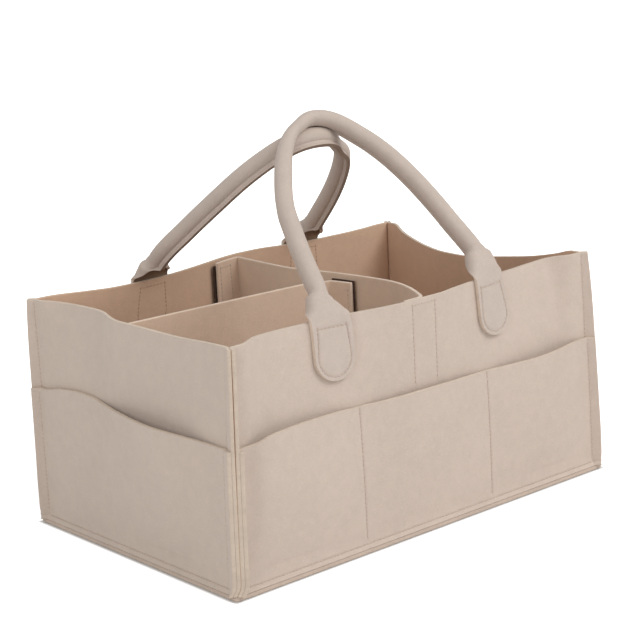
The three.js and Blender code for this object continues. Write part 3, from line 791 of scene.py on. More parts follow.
# Cut edges of the strap: lighter like raw felt, and partly painted highlight where the edges catch the light
HANDLE_CUT_EDGE_AND_HIGHLIGHT = felt_material("handle_felt_cut_edge_and_highlight", srgb(212, 193, 176), srgb(226, 210, 194), 1.4, 0.5)
# Felt of the dividers, in the warmer brown of the inside: painted shade and warm bounce light of the interior
DIVIDER_FELT_PAINTED_SHADE = felt_material("divider_felt", srgb(216, 191, 169), srgb(228, 207, 188))
# Cut edges of the dividers: lighter like raw felt, and partly painted highlight where the edges catch the
# light
DIVIDER_CUT_EDGE_AND_HIGHLIGHT = felt_material("divider_felt_cut_edge_and_highlight", srgb(222, 202, 184), srgb(233, 217, 200), 1.4, 0.5)
HOOK_TAPE = tape_material("hook_tape_weave", srgb(92, 66, 52), srgb(52, 36, 28), 260, 0.7)
LOOP_TAPE = tape_material("loop_tape_pile", srgb(198, 176, 158), srgb(180, 158, 141), 300, 0.4)
CORE_COTTON = felt_material("core_cotton", srgb(196, 178, 160), srgb(210, 195, 180))
# Thread on the inner face: the same thread in the warmer brown of the inside, painted shade
INNER_THREAD_PAINTED_SHADE = thread_material("inner_sewing_thread_painted_shade", srgb(196, 166, 142), srgb(172, 142, 118))
THREAD = thread_material("sewing_thread", srgb(200, 182, 168), srgb(184, 166, 152))


# Stitching: short runs of thread along lines on the felt

BEAD_SIDES = 6
BEAD_RINGS = 4
STITCH_LINE_STEP = 1.5


def stitch_tree():
    tree = bpy.data.node_groups.new("stitch_run", "GeometryNodeTree")
    tree.is_modifier = True
    face = tree.interface
    face.new_socket("Geometry", in_out="INPUT", socket_type="NodeSocketGeometry")
    for label in ("Pitch", "Length", "Radius"):
        face.new_socket(label, in_out="INPUT", socket_type="NodeSocketFloat")
    face.new_socket("Thread", in_out="INPUT", socket_type="NodeSocketMaterial")
    face.new_socket("Geometry", in_out="OUTPUT", socket_type="NodeSocketGeometry")
    n = Nodes(tree)
    start = n.add("NodeGroupInput")
    end = n.add("NodeGroupOutput")
    curve = n.add("GeometryNodeMeshToCurve")
    spaced = n.add("GeometryNodeResampleCurve", mode="LENGTH")
    n.link(start.outputs["Geometry"], curve.inputs[0])
    n.link(curve.outputs[0], spaced.inputs["Curve"])
    n.link(start.outputs["Pitch"], spaced.inputs["Length"])
    bead = n.add("GeometryNodeMeshUVSphere")
    bead.inputs["Segments"].default_value = BEAD_SIDES
    bead.inputs["Rings"].default_value = BEAD_RINGS
    bead.inputs["Radius"].default_value = 1.0
    smooth = n.add("GeometryNodeSetShadeSmooth")
    n.link(bead.outputs["Mesh"], smooth.inputs["Geometry"])
    tangent = n.add("GeometryNodeInputTangent")
    turn = n.add("FunctionNodeAlignRotationToVector", axis="Z")
    n.link(tangent.outputs[0], turn.inputs["Vector"])
    half = n.math("MULTIPLY", start.outputs["Length"], 0.5)
    size = n.add("ShaderNodeCombineXYZ")
    n.link(start.outputs["Radius"], size.inputs["X"])
    n.link(start.outputs["Radius"], size.inputs["Y"])
    n.link(half, size.inputs["Z"])
    sown = n.add("GeometryNodeInstanceOnPoints")
    n.link(spaced.outputs[0], sown.inputs["Points"])
    n.link(smooth.outputs[0], sown.inputs["Instance"])
    n.link(turn.outputs[0], sown.inputs["Rotation"])
    n.link(size.outputs[0], sown.inputs["Scale"])
    real = n.add("GeometryNodeRealizeInstances")
    n.link(sown.outputs[0], real.inputs[0])
    paint = n.add("GeometryNodeSetMaterial")
    n.link(real.outputs[0], paint.inputs["Geometry"])
    n.link(start.outputs["Thread"], paint.inputs["Material"])
    n.link(paint.outputs[0], end.inputs[0])
    return tree


STITCHES = stitch_tree()


def stitch(name, lines, thread=THREAD):
    """Sews along each line of points and gives the thread as one plain mesh."""
    verts, edges = [], []
    for line in lines:
        first = len(verts)
        verts += [list(p) for p in resample(line, STITCH_LINE_STEP)]
        edges += [[k, k + 1] for k in range(first, len(verts) - 1)]
    mesh = bpy.data.meshes.new(name)
    mesh.from_pydata((np.array(verts) * MM).tolist(), edges, [])
    obj = collect(bpy.data.objects.new(name, mesh))
    sew = obj.modifiers.new("sew", "NODES")
    sew.node_group = STITCHES
    names = {s.name: s.identifier for s in STITCHES.interface.items_tree if s.in_out == "INPUT"}
    sew[names["Pitch"]] = STITCH_PITCH * MM
    sew[names["Length"]] = STITCH_LENGTH * MM
    sew[names["Radius"]] = THREAD_RADIUS * MM
    sew[names["Thread"]] = thread
    return settle(obj)


# Tub

def no_dents(t, z):
    return np.zeros(np.broadcast(t, z).shape)


POCKET_SEAMS = (-POCKET_SEAM, POCKET_SEAM)
TAPE_LINES = [TAPE_CENTRE + sign * (LOOP_WIDTH / 2 - TAPE_LINE_INSET) for sign in (-1, 1)]


def long_wall_dents(t, z):
    depth = sum(dent(t - x) for x in TAPE_LINES) * (z < TAPE_LINE_TOP + 1)
    across = dent(z - TAPE_LINE_TOP) * (t > TAPE_LINES[0]) * (t < TAPE_LINES[1])
    return np.maximum(depth, across) * TAPE_LINE_DENT


def long_pocket_dents(t, z):
    depth = sum(dent(t - x) for x in POCKET_SEAMS)
    return np.maximum(depth, dent(z - BASE_STITCH_HEIGHT))


def end_pocket_dents(t, z):
    return dent(z - BASE_STITCH_HEIGHT) + 0 * t


def make_tub():
    for name, side in SIDES.items():
        is_long = side.half == HALF_LENGTH
        reach = side.half - LAYER / 2 * math.sqrt(2) - CORNER_ROUND - 1.0
        tape_lines, seams = (TAPE_LINES, POCKET_SEAMS) if is_long else ((), ())
        # The wall's inner face takes the copy of the felt with the inside's painted shade
        wall = panel(side, 0, dense(-reach, reach, PANEL_STEP, tape_lines),
                     long_wall_dents if is_long else no_dents,
                     name + "_wall_felt", [TUB_FELT, TUB_CUT_EDGE_AND_HIGHLIGHT, TUB_INSIDE_PAINTED_SHADE])
        pocket = panel(side, 1, dense(-reach, reach, PANEL_STEP, seams, near=4.0, fine=0.6),
                       long_pocket_dents if is_long else end_pocket_dents,
                       name + "_pocket_felt", [TUB_FELT, TUB_CUT_EDGE_AND_HIGHLIGHT])
        for obj, node in ((wall, name + "_wall"), (pocket, name + "_pocket_panel")):
            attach(obj, "tub")
            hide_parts(node)


def make_base():
    x, y = BASE_LENGTH / 2 - BASE_CORNER, BASE_WIDTH / 2 - BASE_CORNER
    ring = []
    for quarter, (cx, cy) in enumerate(((x, y), (-x, y), (-x, -y), (x, -y))):
        for a in np.radians(np.linspace(90 * quarter, 90 * quarter + 90, 6)):
            ring.append((cx + BASE_CORNER * math.cos(a), cy + BASE_CORNER * math.sin(a)))
    n = len(ring)
    verts = [(*p, 0) for p in ring] + [(*p, FELT) for p in ring]
    faces = [list(range(n))[::-1], list(range(n, 2 * n))]
    faces += [[k, (k + 1) % n, n + (k + 1) % n, n + k] for k in range(n)]
    # The base's cut edge takes the darker colour of painted shade
    obj = new_piece("base_felt", verts, faces, [TUB_FELT, BASE_CUT_EDGE_PAINTED_SHADE], [0, 0] + [1] * n)
    obj.data.polygons.foreach_set("use_smooth", np.zeros(len(obj.data.polygons), dtype=bool))
    soften(obj, BASE_SOFT_EDGE)
    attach(obj, "tub")
    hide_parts("base_panel")


def corner_lines(side, sign):
    """Stitch lines at the foot of a standing corner seam: on the pocket's lip, and on the wall's above it."""
    lines = []
    edge = side.pocket_height
    for layer, low, high in ((1, CORNER_STITCH_START, edge - 2), (0, edge + 3, RIM_HEIGHT - 3)):
        offset = layer * LAYER
        up_lip = LIP_STITCH * DIAGONAL
        off_lip = (FELT / 2 * LIP_PRESS + THREAD_OFF) * DIAGONAL
        along = side.half + offset - lip_offset(layer) * math.sqrt(2) + up_lip - off_lip
        out = side.reach + offset + up_lip + off_lip
        lines.append(side.place(sign * along, out, np.linspace(low, high, 40)))
    return lines


def tab_rim(name, sign):
    """Height of the rim over a handle tab; the sign tells the right tab from the left."""
    return float(SIDES[name].rim(np.array(float(sign * HANDLE_HALF_SPAN))))


def wall_face(name, x, z):
    """Outer face of a long wall, measured outwards."""
    return SIDES[name].run_out(0, np.asarray(x, float), np.asarray(z, float)) + FELT / 2


def tongue_outline(inset, top):
    """Half-open U inside a tab's edge, from the cross line down round the foot and up again."""
    half = TAB_WIDTH / 2
    middle = half - TAB_CORNER
    r = TAB_CORNER - inset
    pts = [(-half + inset + TAB_STITCH_TAPER, top), (-half + inset, TAB_BOTTOM + TAB_CORNER)]
    for sign, start in ((-1, math.pi), (1, 1.5 * math.pi)):
        for a in np.linspace(start, start + math.pi / 2, 14):
            pts.append((sign * middle + r * math.cos(a), TAB_BOTTOM + TAB_CORNER + r * math.sin(a)))
    pts.append((half - inset - TAB_STITCH_TAPER, top))
    return resample(pts, STITCH_LINE_STEP)


# How far the front straps sit to the right of their even place, by height over the rim
FOOT_SHIFT = {
    -1: through([(-34, 0), (-6, 1.3), (4, 0.7), (14, -1.6), (24, -0.4), (34, 0)]),
    1: through([(-34, 0), (-4, -0.8), (6, -1.2), (14, -1.5), (28, 0)]),
}

# How much narrower than its tab each front strap is, by height over the rim
FOOT_WAIST = {
    -1: through([(-30, 0), (-2, 0.06), (6, 0.11), (12, 0.19), (20, 0.12), (27, 0)]),
    1: through([(-30, 0), (-2, 0.07), (12, 0.09), (24, 0)]),
}


def foot_shift(name, sign, z):
    return float(FOOT_SHIFT[sign](z - tab_rim(name, sign))) if name == "front" else 0.0


def foot_waist(name, sign, z):
    return float(FOOT_WAIST[sign](z - tab_rim(name, sign))) if name == "front" else 0.0


def tab_lines(name, shift):
    """Stitch lines on both tabs of a handle, shifted outwards from the wall's face."""
    lines = []
    for sign in (-1, 1):
        outline = tongue_outline(TAB_STITCH_INSET, tab_rim(name, sign) - TAB_STITCH_DROP)
        cross = np.array([outline[0], outline[-1]])
        for pts in (outline, resample(cross, 2.0)):
            x = sign * HANDLE_HALF_SPAN + pts[:, 0] + [foot_shift(name, sign, z) for z in pts[:, 1]]
            lines.append(SIDES[name].place(x, wall_face(name, x, pts[:, 1]) + shift, pts[:, 1]))
    return lines


def make_tub_stitches():
    lines = []
    for side in SIDES.values():
        for sign in (-1, 1):
            lines += corner_lines(side, sign)
        t = np.linspace(-side.run - 4, side.run + 4, 140)
        lines.append(side.surface(1, t, np.full_like(t, BASE_STITCH_HEIGHT), SEWN))
    for name in ("front", "back"):
        side = SIDES[name]
        for x in POCKET_SEAMS:
            z = np.linspace(POCKET_STITCH_START, float(side.edge(np.array(float(x)))) - 1.5, 60)
            lines.append(side.surface(1, np.full_like(z, x), z, SEWN))
        for x in TAPE_LINES:
            z = np.linspace(TAPE_LINE_BOTTOM, TAPE_LINE_TOP, 60)
            lines.append(side.surface(0, np.full_like(z, x), z, TAPE_SEWN))
        t = np.linspace(*TAPE_LINES, 20)
        lines.append(side.surface(0, t, np.full_like(t, TAPE_LINE_TOP), TAPE_SEWN))
        lines += tab_lines(name, GAP + FELT / 2 + SEWN)
    inner = [line for name in ("front", "back") for line in tab_lines(name, -FELT - THREAD_OFF)]
    for obj in (stitch("tub_stitches", lines), stitch("tub_inner_stitches", inner, INNER_THREAD_PAINTED_SHADE)):
        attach(obj, "tub")


# Handles

ROLL_STEPS = 18
LIP_TURN_STEPS = 5
LIP_FLAT = (1.0, 1.0, 0.8, 0.7)


def roll_stretches():
    """Half of the strip across its width: lengths and headings of the roll, the turned lip and its flat."""
    radius = TUBE_RADIUS - FELT / 2
    close = math.pi - math.asin(((LIP_FELT + LIP_SLIT) / 2 + LIP_TURN) / (radius + LIP_TURN))
    parts = [(radius * close / ROLL_STEPS, close * (k + 0.5) / ROLL_STEPS) for k in range(ROLL_STEPS)]
    turn = close - math.pi / 2
    for k in range(LIP_TURN_STEPS):
        parts.append((LIP_TURN * turn / LIP_TURN_STEPS, close - turn * (k + 0.5) / LIP_TURN_STEPS))
    return np.array(parts + [(length, math.pi / 2) for length in LIP_FLAT])


def both_halves(half, mirror=1):
    """The whole strip's values from those of one half, whose first value is the middle's."""
    return np.concatenate([mirror * half[:0:-1], half])


STRETCHES = roll_stretches()
FLAT_HALF = STRETCHES[:, 0].sum()
LIP_SHARE = both_halves(np.concatenate([np.zeros(ROLL_STEPS + 1), np.linspace(0.2, 1, LIP_TURN_STEPS),
                                        np.ones(len(LIP_FLAT))]))


def rolled_section(roll, half_width):
    """Across, inward and heading of the strip's middle line: flat in the middle, rolled at its sides."""
    scale = half_width / FLAT_HALF
    centre = np.cumsum(STRETCHES[:, 0]) - STRETCHES[:, 0] / 2
    heading = np.interp(centre - (1 - roll) * FLAT_HALF, centre, STRETCHES[:, 1], left=0.0)
    length = STRETCHES[:, 0] * scale
    across = np.concatenate([[0], np.cumsum(np.cos(heading) * length)])
    inward = np.concatenate([[0], np.cumsum(np.sin(heading) * length)])
    mid = np.concatenate([[0], (heading[:-1] + heading[1:]) / 2, heading[-1:]])
    return both_halves(across, -1), both_halves(inward), both_halves(mid, -1)


def strip_profile(name):
    """Side view of a handle above the rim: place and lean at each length of strip."""
    s = np.linspace(0, HANDLE_RISE[name], 600)
    foot = TAB_LEAN[name]
    angle = np.radians(foot + (HANDLE_LEAN[name] - foot) * rise(s / FOOT_BEND))
    step = np.gradient(s)
    rims = [tab_rim(name, sign) for sign in (1, -1)]
    faces = [float(wall_face(name, sign * HANDLE_HALF_SPAN, z)) + GAP + FELT / 2
             for sign, z in zip((1, -1), rims)]
    out = sum(faces) / 2 - np.cumsum(np.sin(angle) * step)
    z = sum(rims) / 2 + np.cumsum(np.cos(angle) * step)
    return s, out, z, angle, (faces[0] - faces[1]) / 2, (rims[0] - rims[1]) / 2


def tongue_half_width(h):
    """Half the width of a tab at a height over its foot."""
    r = TAB_CORNER
    inner = TAB_WIDTH / 2 - r
    return inner + np.sqrt(np.maximum(r * r - np.maximum(r - h, 0) ** 2, 0))


def stitch_distance(u, h, top):
    """How far a point of a tab lies inside the line of its stitches."""
    taper = TAB_STITCH_TAPER * np.clip((h - TAB_CORNER) / (top - TAB_BOTTOM - TAB_CORNER), 0, 1)
    return edge_distance(u, h) - TAB_STITCH_INSET - taper


def edge_distance(u, h):
    """How far a point of a tab lies inside its outline."""
    inner = TAB_WIDTH / 2 - TAB_CORNER
    u = np.abs(u)
    round_part = TAB_CORNER - np.hypot(u - inner, TAB_CORNER - h)
    return np.where((h < TAB_CORNER) & (u > inner), round_part, np.minimum(TAB_WIDTH / 2 - u, h))


# How far each arch strays outwards from an even curve, by its angle from the right foot
HANDLE_STRAY = {
    "front": through([(0, 0), (8, 1.8), (20, -0.5), (45, -0.8), (54, -1.6), (62, -2.4), (80, -0.7),
                      (90, -1.1), (103, -3.8), (114, -3.3), (122, -2.9), (133, -2.5), (145, -1.2),
                      (153, -2.7), (162, -3.2), (171, -3.1), (176, -0.9), (180, 0)]),
    "back": through([(0, 0), (4, 2.4), (8, 2.8), (12, 2.1), (24, 2.3), (42, 1.1), (54, 0.0), (67, -3.6),
                     (78, -1.8), (92, 0.7), (110, 5.6), (126, 3.3), (146, -0.7), (156, 0.1), (168, 4.1),
                     (174, 3.1), (180, 0)]),
}

# How much each tube flattens in its bend, by the same angle, and which way its middle moves
BEND_FLAT = {
    "front": through([(0, 0), (46, 0), (60, 0.06), (72, 0.1), (80, 0.14), (88, 0.2), (98, 0.3), (106, 0.34),
                      (112, 0.27), (120, 0.14), (128, 0.03), (135, 0), (180, 0)]),
    "back": through([(0, 0), (46, 0), (54, 0.05), (60, 0.2), (66, 0.26), (74, 0.25), (84, 0.12), (96, 0),
                     (180, 0)]),
}
BEND_SHIFT = {"front": -TUBE_RADIUS, "back": -0.35 * TUBE_RADIUS}


def arch_rows(name):
    """Places along an arch as rows of angle, along, out, height, lean and length of strip."""
    height, sway = HANDLE_RISE[name], HANDLE_SWAY[name]
    s, out, z, angle, skew, tilt = strip_profile(name)
    turn = np.linspace(0, math.pi, 721)
    along = HANDLE_HALF_SPAN * np.cos(turn) + sway * np.sin(turn) ** 2
    length = height * np.sin(turn)
    step = np.column_stack([np.gradient(along), np.gradient(length)])
    step /= np.linalg.norm(step, axis=1)[:, None]
    stray = HANDLE_STRAY[name](np.degrees(turn))
    along, length = along + stray * step[:, 1], length - stray * step[:, 0]
    foot = np.arcsin(np.linspace(0.4, ROLL_LENGTH[1] + 8, 40) / height)
    half = np.concatenate([foot, np.linspace(foot[-1], math.pi / 2, 46)[1:]])
    rows = []
    for a in np.concatenate([half, math.pi - half[-2::-1]]):
        run = float(np.interp(a, turn, length))
        over = max(0.0, run - height)
        rows.append((a, np.interp(a, turn, along),
                     np.interp(run, s, out) - over * math.sin(angle[-1]) + skew * math.cos(a),
                     np.interp(run, s, z) + over * math.cos(angle[-1]) + tilt * math.cos(a),
                     np.interp(run, s, angle), run))
    return rows


def handle_stations(name):
    """Places along a strap from one tab over the arch to the other, with the strip's directions."""
    side = SIDES[name]
    tabs = {}
    for sign in (1, -1):
        x, rim = sign * HANDLE_HALF_SPAN, tab_rim(name, sign)
        tabs[sign] = []
        for h in np.concatenate([[0, 0.6, 1.3], np.arange(2.2, rim - TAB_BOTTOM - 0.5, 0.9)]):
            low, mid, high = (float(wall_face(name, x, TAB_BOTTOM + h + d)) for d in (-0.5, 0, 0.5))
            lean = -math.atan(high - low)
            inner = side.place(0, -math.cos(lean), -math.sin(lean))
            ahead = sign * side.place(0, -math.sin(lean), math.cos(lean))
            z = TAB_BOTTOM + h
            point = side.place(x + foot_shift(name, sign, z), mid + GAP + FELT / 2, z)
            tabs[sign].append((point, inner, np.cross(ahead, inner), h, 0.0, z, sign, 0.0))
    rows = arch_rows(name)
    signs = [1 if turn < 1 else -1 for turn, *_ in rows]
    points = np.array([side.place(along + foot_shift(name, sign, z), out, z)
                       for (_, along, out, z, *_), sign in zip(rows, signs)])
    aheads = np.gradient(points, axis=0)
    aheads /= np.linalg.norm(aheads, axis=1)[:, None]
    arch = []
    for (turn, _, _, z, lean, length), sign, point, ahead in zip(rows, signs, points, aheads):
        inner = side.place(0, -math.cos(lean), -math.sin(lean))
        level = np.cross(sign * side.place(0, -math.sin(lean), math.cos(lean)), inner)
        free = rise(length / LEVEL_LENGTH)
        lateral = np.cross(ahead, inner) * free + level * (1 - free)
        flat = float(BEND_FLAT[name](math.degrees(turn)))
        arch.append((point, inner, lateral / np.linalg.norm(lateral), None, length, z, sign, flat))
    return tabs[1] + arch + tabs[-1][::-1]


# How far a strap has closed into a tube, by its share of the length that it takes
ROLL_SHARE = (0, 0.29, 0.57, 0.75, 0.88, 1.0)
ROLL_CLOSED = (0, 0.43, 0.62, 0.71, 0.88, 1.0)


def strap_roll(length, sign):
    """Share of a full tube: the strap curls at its sides, lies nearly flat, then closes."""
    share = min(1.0, length / ROLL_LENGTH[sign])
    return float(np.interp(share, ROLL_SHARE, ROLL_CLOSED))


def paint_seam_shade(mesh, height):
    """Gives the cut edges of the strip above a height, where they meet in the seam, their own darker
    material: painted shade of the seam.
    """
    count = len(mesh.polygons)
    centre, slot = np.empty(3 * count, dtype=np.float32), np.empty(count, dtype=np.int32)
    mesh.polygons.foreach_get("center", centre)
    mesh.polygons.foreach_get("material_index", slot)
    slot[(slot == 1) & (centre[2::3] > height * MM)] = 3
    mesh.polygons.foreach_set("material_index", slot)


# The pinch where the tube closes: its depth and width over those of a stitch, and its place
PINCH_DEPTH = 1.4
PINCH_WIDTH = 1.3
PINCH_SHARE = 0.86


def make_handle(name):
    near, far, lip_sides, centre = [], [], ([], []), []
    for point, inner, lateral, h, length, z, sign, flat in handle_stations(name):
        if h is not None:
            roll, half = 0.0, float(tongue_half_width(h))
        else:
            roll = strap_roll(length, sign)
            half = TAB_WIDTH / 2 + (FLAT_HALF - TAB_WIDTH / 2) * roll
        across, inward, heading = rolled_section(roll, half)
        rim, foot = tab_rim(name, sign), sign * HANDLE_HALF_SPAN
        across = across * (1 - foot_waist(name, sign, z) - flat) + flat * BEND_SHIFT[name]
        normal = -np.sin(heading)[:, None] * lateral + np.cos(heading)[:, None] * inner
        middle = point + across[:, None] * lateral + inward[:, None] * inner
        level = min(z, rim)
        slope = wall_face(name, foot + across * lateral[0], level) - wall_face(name, foot, level)
        middle += (slope * (1 - rise(length / SLOPE_LENGTH)))[:, None] * SIDES[name].place(0, 1, 0)
        if h is not None:
            cross = rim - TAB_STITCH_DROP
            inside = stitch_distance(across, h, cross)
            press = dent(inside) * (z < cross + 1)
            press = np.maximum(press, dent(z - cross) * (inside > -0.5))
        else:
            pinch = dent((length - PINCH_SHARE * ROLL_LENGTH[sign]) / PINCH_WIDTH)
            press = PINCH_DEPTH * pinch * (1 - LIP_SHARE)
        thick = FELT - (FELT - LIP_FELT) * LIP_SHARE * rise((roll - 0.55) / 0.4)
        if length > ROLL_LENGTH[1]:
            for k, index in ((0, len(across) - 3), (1, 2)):
                lip_sides[k].append(middle[index] - normal[index] * (LIP_FELT / 2 - THREAD_OFF))
            if length > ROLL_LENGTH[1] + CORE_INSET:
                centre.append(point + inner * (TUBE_RADIUS - FELT / 2) + lateral * flat * BEND_SHIFT[name])
        near.append(middle + normal * (thick / 2)[:, None])
        far.append(middle - normal * (thick / 2 - press)[:, None])
    obj = felt_solid(name + "_handle_strap", np.array(near), np.array(far),
                     [HANDLE_FELT_PAINTED_SHADE, HANDLE_CUT_EDGE_AND_HIGHLIGHT, HANDLE_INSIDE_PAINTED_SHADE, HANDLE_SEAM_PAINTED_SHADE])
    paint_seam_shade(obj.data, tab_rim(name, 1) + SEAM_START)
    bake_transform(obj)
    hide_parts(name + "_handle_sleeve", name + "_handle_left_tab", name + "_handle_right_tab")
    thread = stitch(name + "_handle_stitches", [np.array(side) for side in lip_sides])
    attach(thread, name + "_handle")
    core = filler_bar(name + "_handle_filler", resample(centre, 3.0), CORE_RADIUS, CORE_COTTON)
    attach(core, name + "_handle")
    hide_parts(name + "_handle_core")


# Dividers

FLAP_MID = WALL_INNER - FLAP_NEAR - FELT / 2
CROSS_FLAP_END = {"back": -13.5, "front": -9.1}
CROSS_SPLIT_Y = -2.0
CROSS_BULGE = [(12.9, 96), (12.2, 72), (12.2, 45), (20, 18), (26, -12), (29.5, -42), (29.5, -60), (24, -80),
               (14, -100)]
CROSS_BODY = 95
DIVIDER_STEP = 2.2
TAPE_STEP = 2.0
FLAP_STITCH_START = 8


def rounded(corners, passes=4):
    """Cuts the corners of a line again and again until it runs smoothly."""
    line = np.asarray(corners, float)
    for _ in range(passes):
        early = line[:-1] * 0.75 + line[1:] * 0.25
        late = line[:-1] * 0.25 + line[1:] * 0.75
        line = np.concatenate([line[:1], np.stack([early, late], axis=1).reshape(-1, 2), line[-1:]])
    return line


CROSS_BACK = [(CROSS_FLAP_END["back"], FLAP_MID), (10, FLAP_MID), (13.2, FLAP_MID), (13.2, FLAP_MID - 4)]
CROSS_FRONT = [(8.5, -FLAP_MID), (0, -FLAP_MID), (CROSS_FLAP_END["front"], -FLAP_MID)]
CROSS_LINE = resample(rounded(CROSS_BACK + CROSS_BULGE + CROSS_FRONT), DIVIDER_STEP)


def along_cross(y, shift):
    """Points beside the cross divider's middle line, shifted towards +X."""
    body = CROSS_LINE[np.abs(CROSS_LINE[:, 1]) < CROSS_BODY][::-1]
    x = np.interp(y, body[:, 1], body[:, 0])
    slope = np.gradient(x, y)
    length = np.sqrt(1 + slope ** 2)
    return np.column_stack([x + shift / length, y - shift * slope / length])


def add_strip(name, line, bottom, top, material, body, node):
    """A strip of hook or loop tape."""
    strip = upright(name, line, bottom, top, TAPE, [material, material], TAPE_SOFT_EDGE, stiff=body != "tub")
    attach(strip, body)
    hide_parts(node)


def flap_stitches(name, face, top, body):
    """Thread round a flap: both upright sides and the top of its sewn tape."""
    z = np.linspace(DIVIDER_BOTTOM + FLAP_STITCH_START, top, 40)
    lines = [np.column_stack([np.tile(face[k], (40, 1)), z]) for k in (0, -1)]
    lines.append(np.column_stack([face, np.full(len(face), top)]))
    thread = stitch(name, [wall_pull(line) for line in lines])
    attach(thread, body)


# How far the hook tape of each cross divider flap shows past the flap's free end
CROSS_HOOK_SHOW = {"back": HOOK_SHOW - 0.6, "front": 0.0}


def level_strip(start, end, y):
    """A tape's line along a long wall."""
    return resample([(start, y), (end, y)], TAPE_STEP)


def make_cross_divider():
    cut = int(np.argmin(np.abs(CROSS_LINE[:, 1] - CROSS_SPLIT_Y)))
    for name, sign, line, joined, nodes in (
            ("back", 1, CROSS_LINE[:cut + 1], "last", ["cross_divider_back_flap"]),
            ("front", -1, CROSS_LINE[cut:], "first", ["cross_divider_front_flap", "cross_divider_panel"])):
        obj = upright("cross_divider_%s_felt" % name, line, DIVIDER_BOTTOM, DIVIDER_TOP, FELT,
                      [DIVIDER_FELT_PAINTED_SHADE, DIVIDER_CUT_EDGE_AND_HIGHLIGHT], joined=(joined,))
        flap = "cross_%s_flap" % name
        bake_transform(obj)
        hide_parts(*nodes)
        free = CROSS_FLAP_END[name]
        hook = level_strip(free + HOOK_WIDTH, free - CROSS_HOOK_SHOW[name],
                           sign * (WALL_INNER - HOOK_NEAR - TAPE / 2))
        add_strip("cross_divider_%s_hook_strip" % name, hook, TAPE_BOTTOM, TAPE_TOP, HOOK_TAPE, flap,
                  "cross_divider_%s_hook_tape" % name)
        loop = level_strip(TAPE_CENTRE + LOOP_WIDTH / 2, TAPE_CENTRE - LOOP_WIDTH / 2,
                           sign * (WALL_INNER - LOOP_NEAR - TAPE / 2))
        add_strip(name + "_wall_loop_strip", loop, TAPE_BOTTOM, TAPE_TOP, LOOP_TAPE, "tub",
                  name + "_wall_loop_tape")
        face = level_strip(free + 3.5, free + FLAP_WIDTH - 6, sign * (FLAP_MID - FELT / 2 - THREAD_OFF))
        flap_stitches("cross_divider_%s_stitches" % name, face, DIVIDER_TOP - 5, flap)


LONG_FLAP = 25
LONG_WALL_X = -END_INNER + FLAP_NEAR + FELT / 2
LONG_WALL_Y = 11.5
LONG_INNER_Y = 4.0
INNER_FLAP = 21.3
LONG_SPLIT_X = -80.0
FLAP_SHIFT = -(FELT / 2 + FLAP_NEAR + FELT / 2)


def long_line():
    """The long divider's middle line: its wall flap, its body, and its inner flap along the cross divider."""
    y = np.linspace(LONG_INNER_Y - 4, LONG_INNER_Y - INNER_FLAP, 12)
    flap = along_cross(y, FLAP_SHIFT - np.linspace(0.8, 0, 12))
    turn = along_cross(np.array([LONG_INNER_Y + 0.5, LONG_INNER_Y + 1.0]), FLAP_SHIFT - 1.2)[0]
    corners = [(LONG_WALL_X, LONG_WALL_Y - 26.5), (LONG_WALL_X, LONG_WALL_Y - 8), (LONG_WALL_X, LONG_WALL_Y),
               (LONG_WALL_X + 9, LONG_WALL_Y - 0.4), (-110, 8.8), (-35, 4.9), (0, 2.2), tuple(turn)]
    return resample(np.concatenate([rounded(corners + [tuple(flap[0])]), flap[1:]]), DIVIDER_STEP)


# How far the hook tape of the long divider's inner flap shows past the flap's end and top
INNER_HOOK_SHOW = 0.9


def make_long_divider():
    line = long_line()
    cut = int(np.argmin(np.abs(line[:, 0] - LONG_SPLIT_X)))
    felt = [DIVIDER_FELT_PAINTED_SHADE, DIVIDER_CUT_EDGE_AND_HIGHLIGHT]
    wall = upright("long_divider_wall_felt", line[:cut + 1], DIVIDER_BOTTOM, LONG_TOP, FELT, felt,
                   joined=("last",))
    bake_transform(wall)
    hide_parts("long_divider_wall_flap")
    part = line[cut:]
    tops = LONG_TOP - (LONG_TOP - INNER_FLAP_TOP) * (part[:, 1] < LONG_INNER_Y) * (part[:, 0] > 5)
    inner = upright("long_divider_inner_felt", part, DIVIDER_BOTTOM, tops, FELT, felt, joined=("first",))
    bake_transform(inner)
    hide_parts("long_divider_inner_flap", "long_divider_panel")
    middle = LONG_WALL_Y - FELT / 2 - LONG_FLAP / 2
    for name, width, near, body, node, slot, material in (
            ("left_end_wall_loop_strip", LOOP_WIDTH, LOOP_NEAR, "tub", "left_end_wall_loop_tape",
             "loop_tape", LOOP_TAPE),
            ("long_divider_wall_hook_strip", HOOK_WIDTH, HOOK_NEAR, "long_wall_flap",
             "long_divider_wall_hook_tape", "hook_tape", HOOK_TAPE)):
        x = -END_INNER + near + TAPE / 2
        add_strip(name, resample([(x, middle + width / 2), (x, middle - width / 2)], TAPE_STEP),
                  TAPE_BOTTOM, TAPE_TOP - FELT, material, body, node)
    for name, show, near, body, node, slot, material in (
            ("cross_divider_loop_strip", 0, LOOP_NEAR, "cross_divider", "cross_divider_loop_tape",
             "loop_tape", LOOP_TAPE),
            ("long_divider_inner_hook_strip", INNER_HOOK_SHOW, HOOK_NEAR, "long_inner_flap",
             "long_divider_inner_hook_tape", "hook_tape", HOOK_TAPE)):
        y = np.linspace(LONG_INNER_Y, LONG_INNER_Y - INNER_FLAP - show, 16)
        add_strip(name, along_cross(y, -(FELT / 2 + near + TAPE / 2)), TAPE_BOTTOM, INNER_FLAP_TOP + show,
                  material, body, node)
    y = np.linspace(LONG_INNER_Y - 5, LONG_INNER_Y - INNER_FLAP + 3, 30)
    face = along_cross(y, FLAP_SHIFT - FELT / 2 - THREAD_OFF)
    flap_stitches("long_divider_stitches", face, LONG_TOP - 8, "long_inner_flap")


make_tub()
make_base()
make_tub_stitches()
make_handle("front")
make_handle("back")
make_cross_divider()
make_long_divider()


# Stage, light and camera

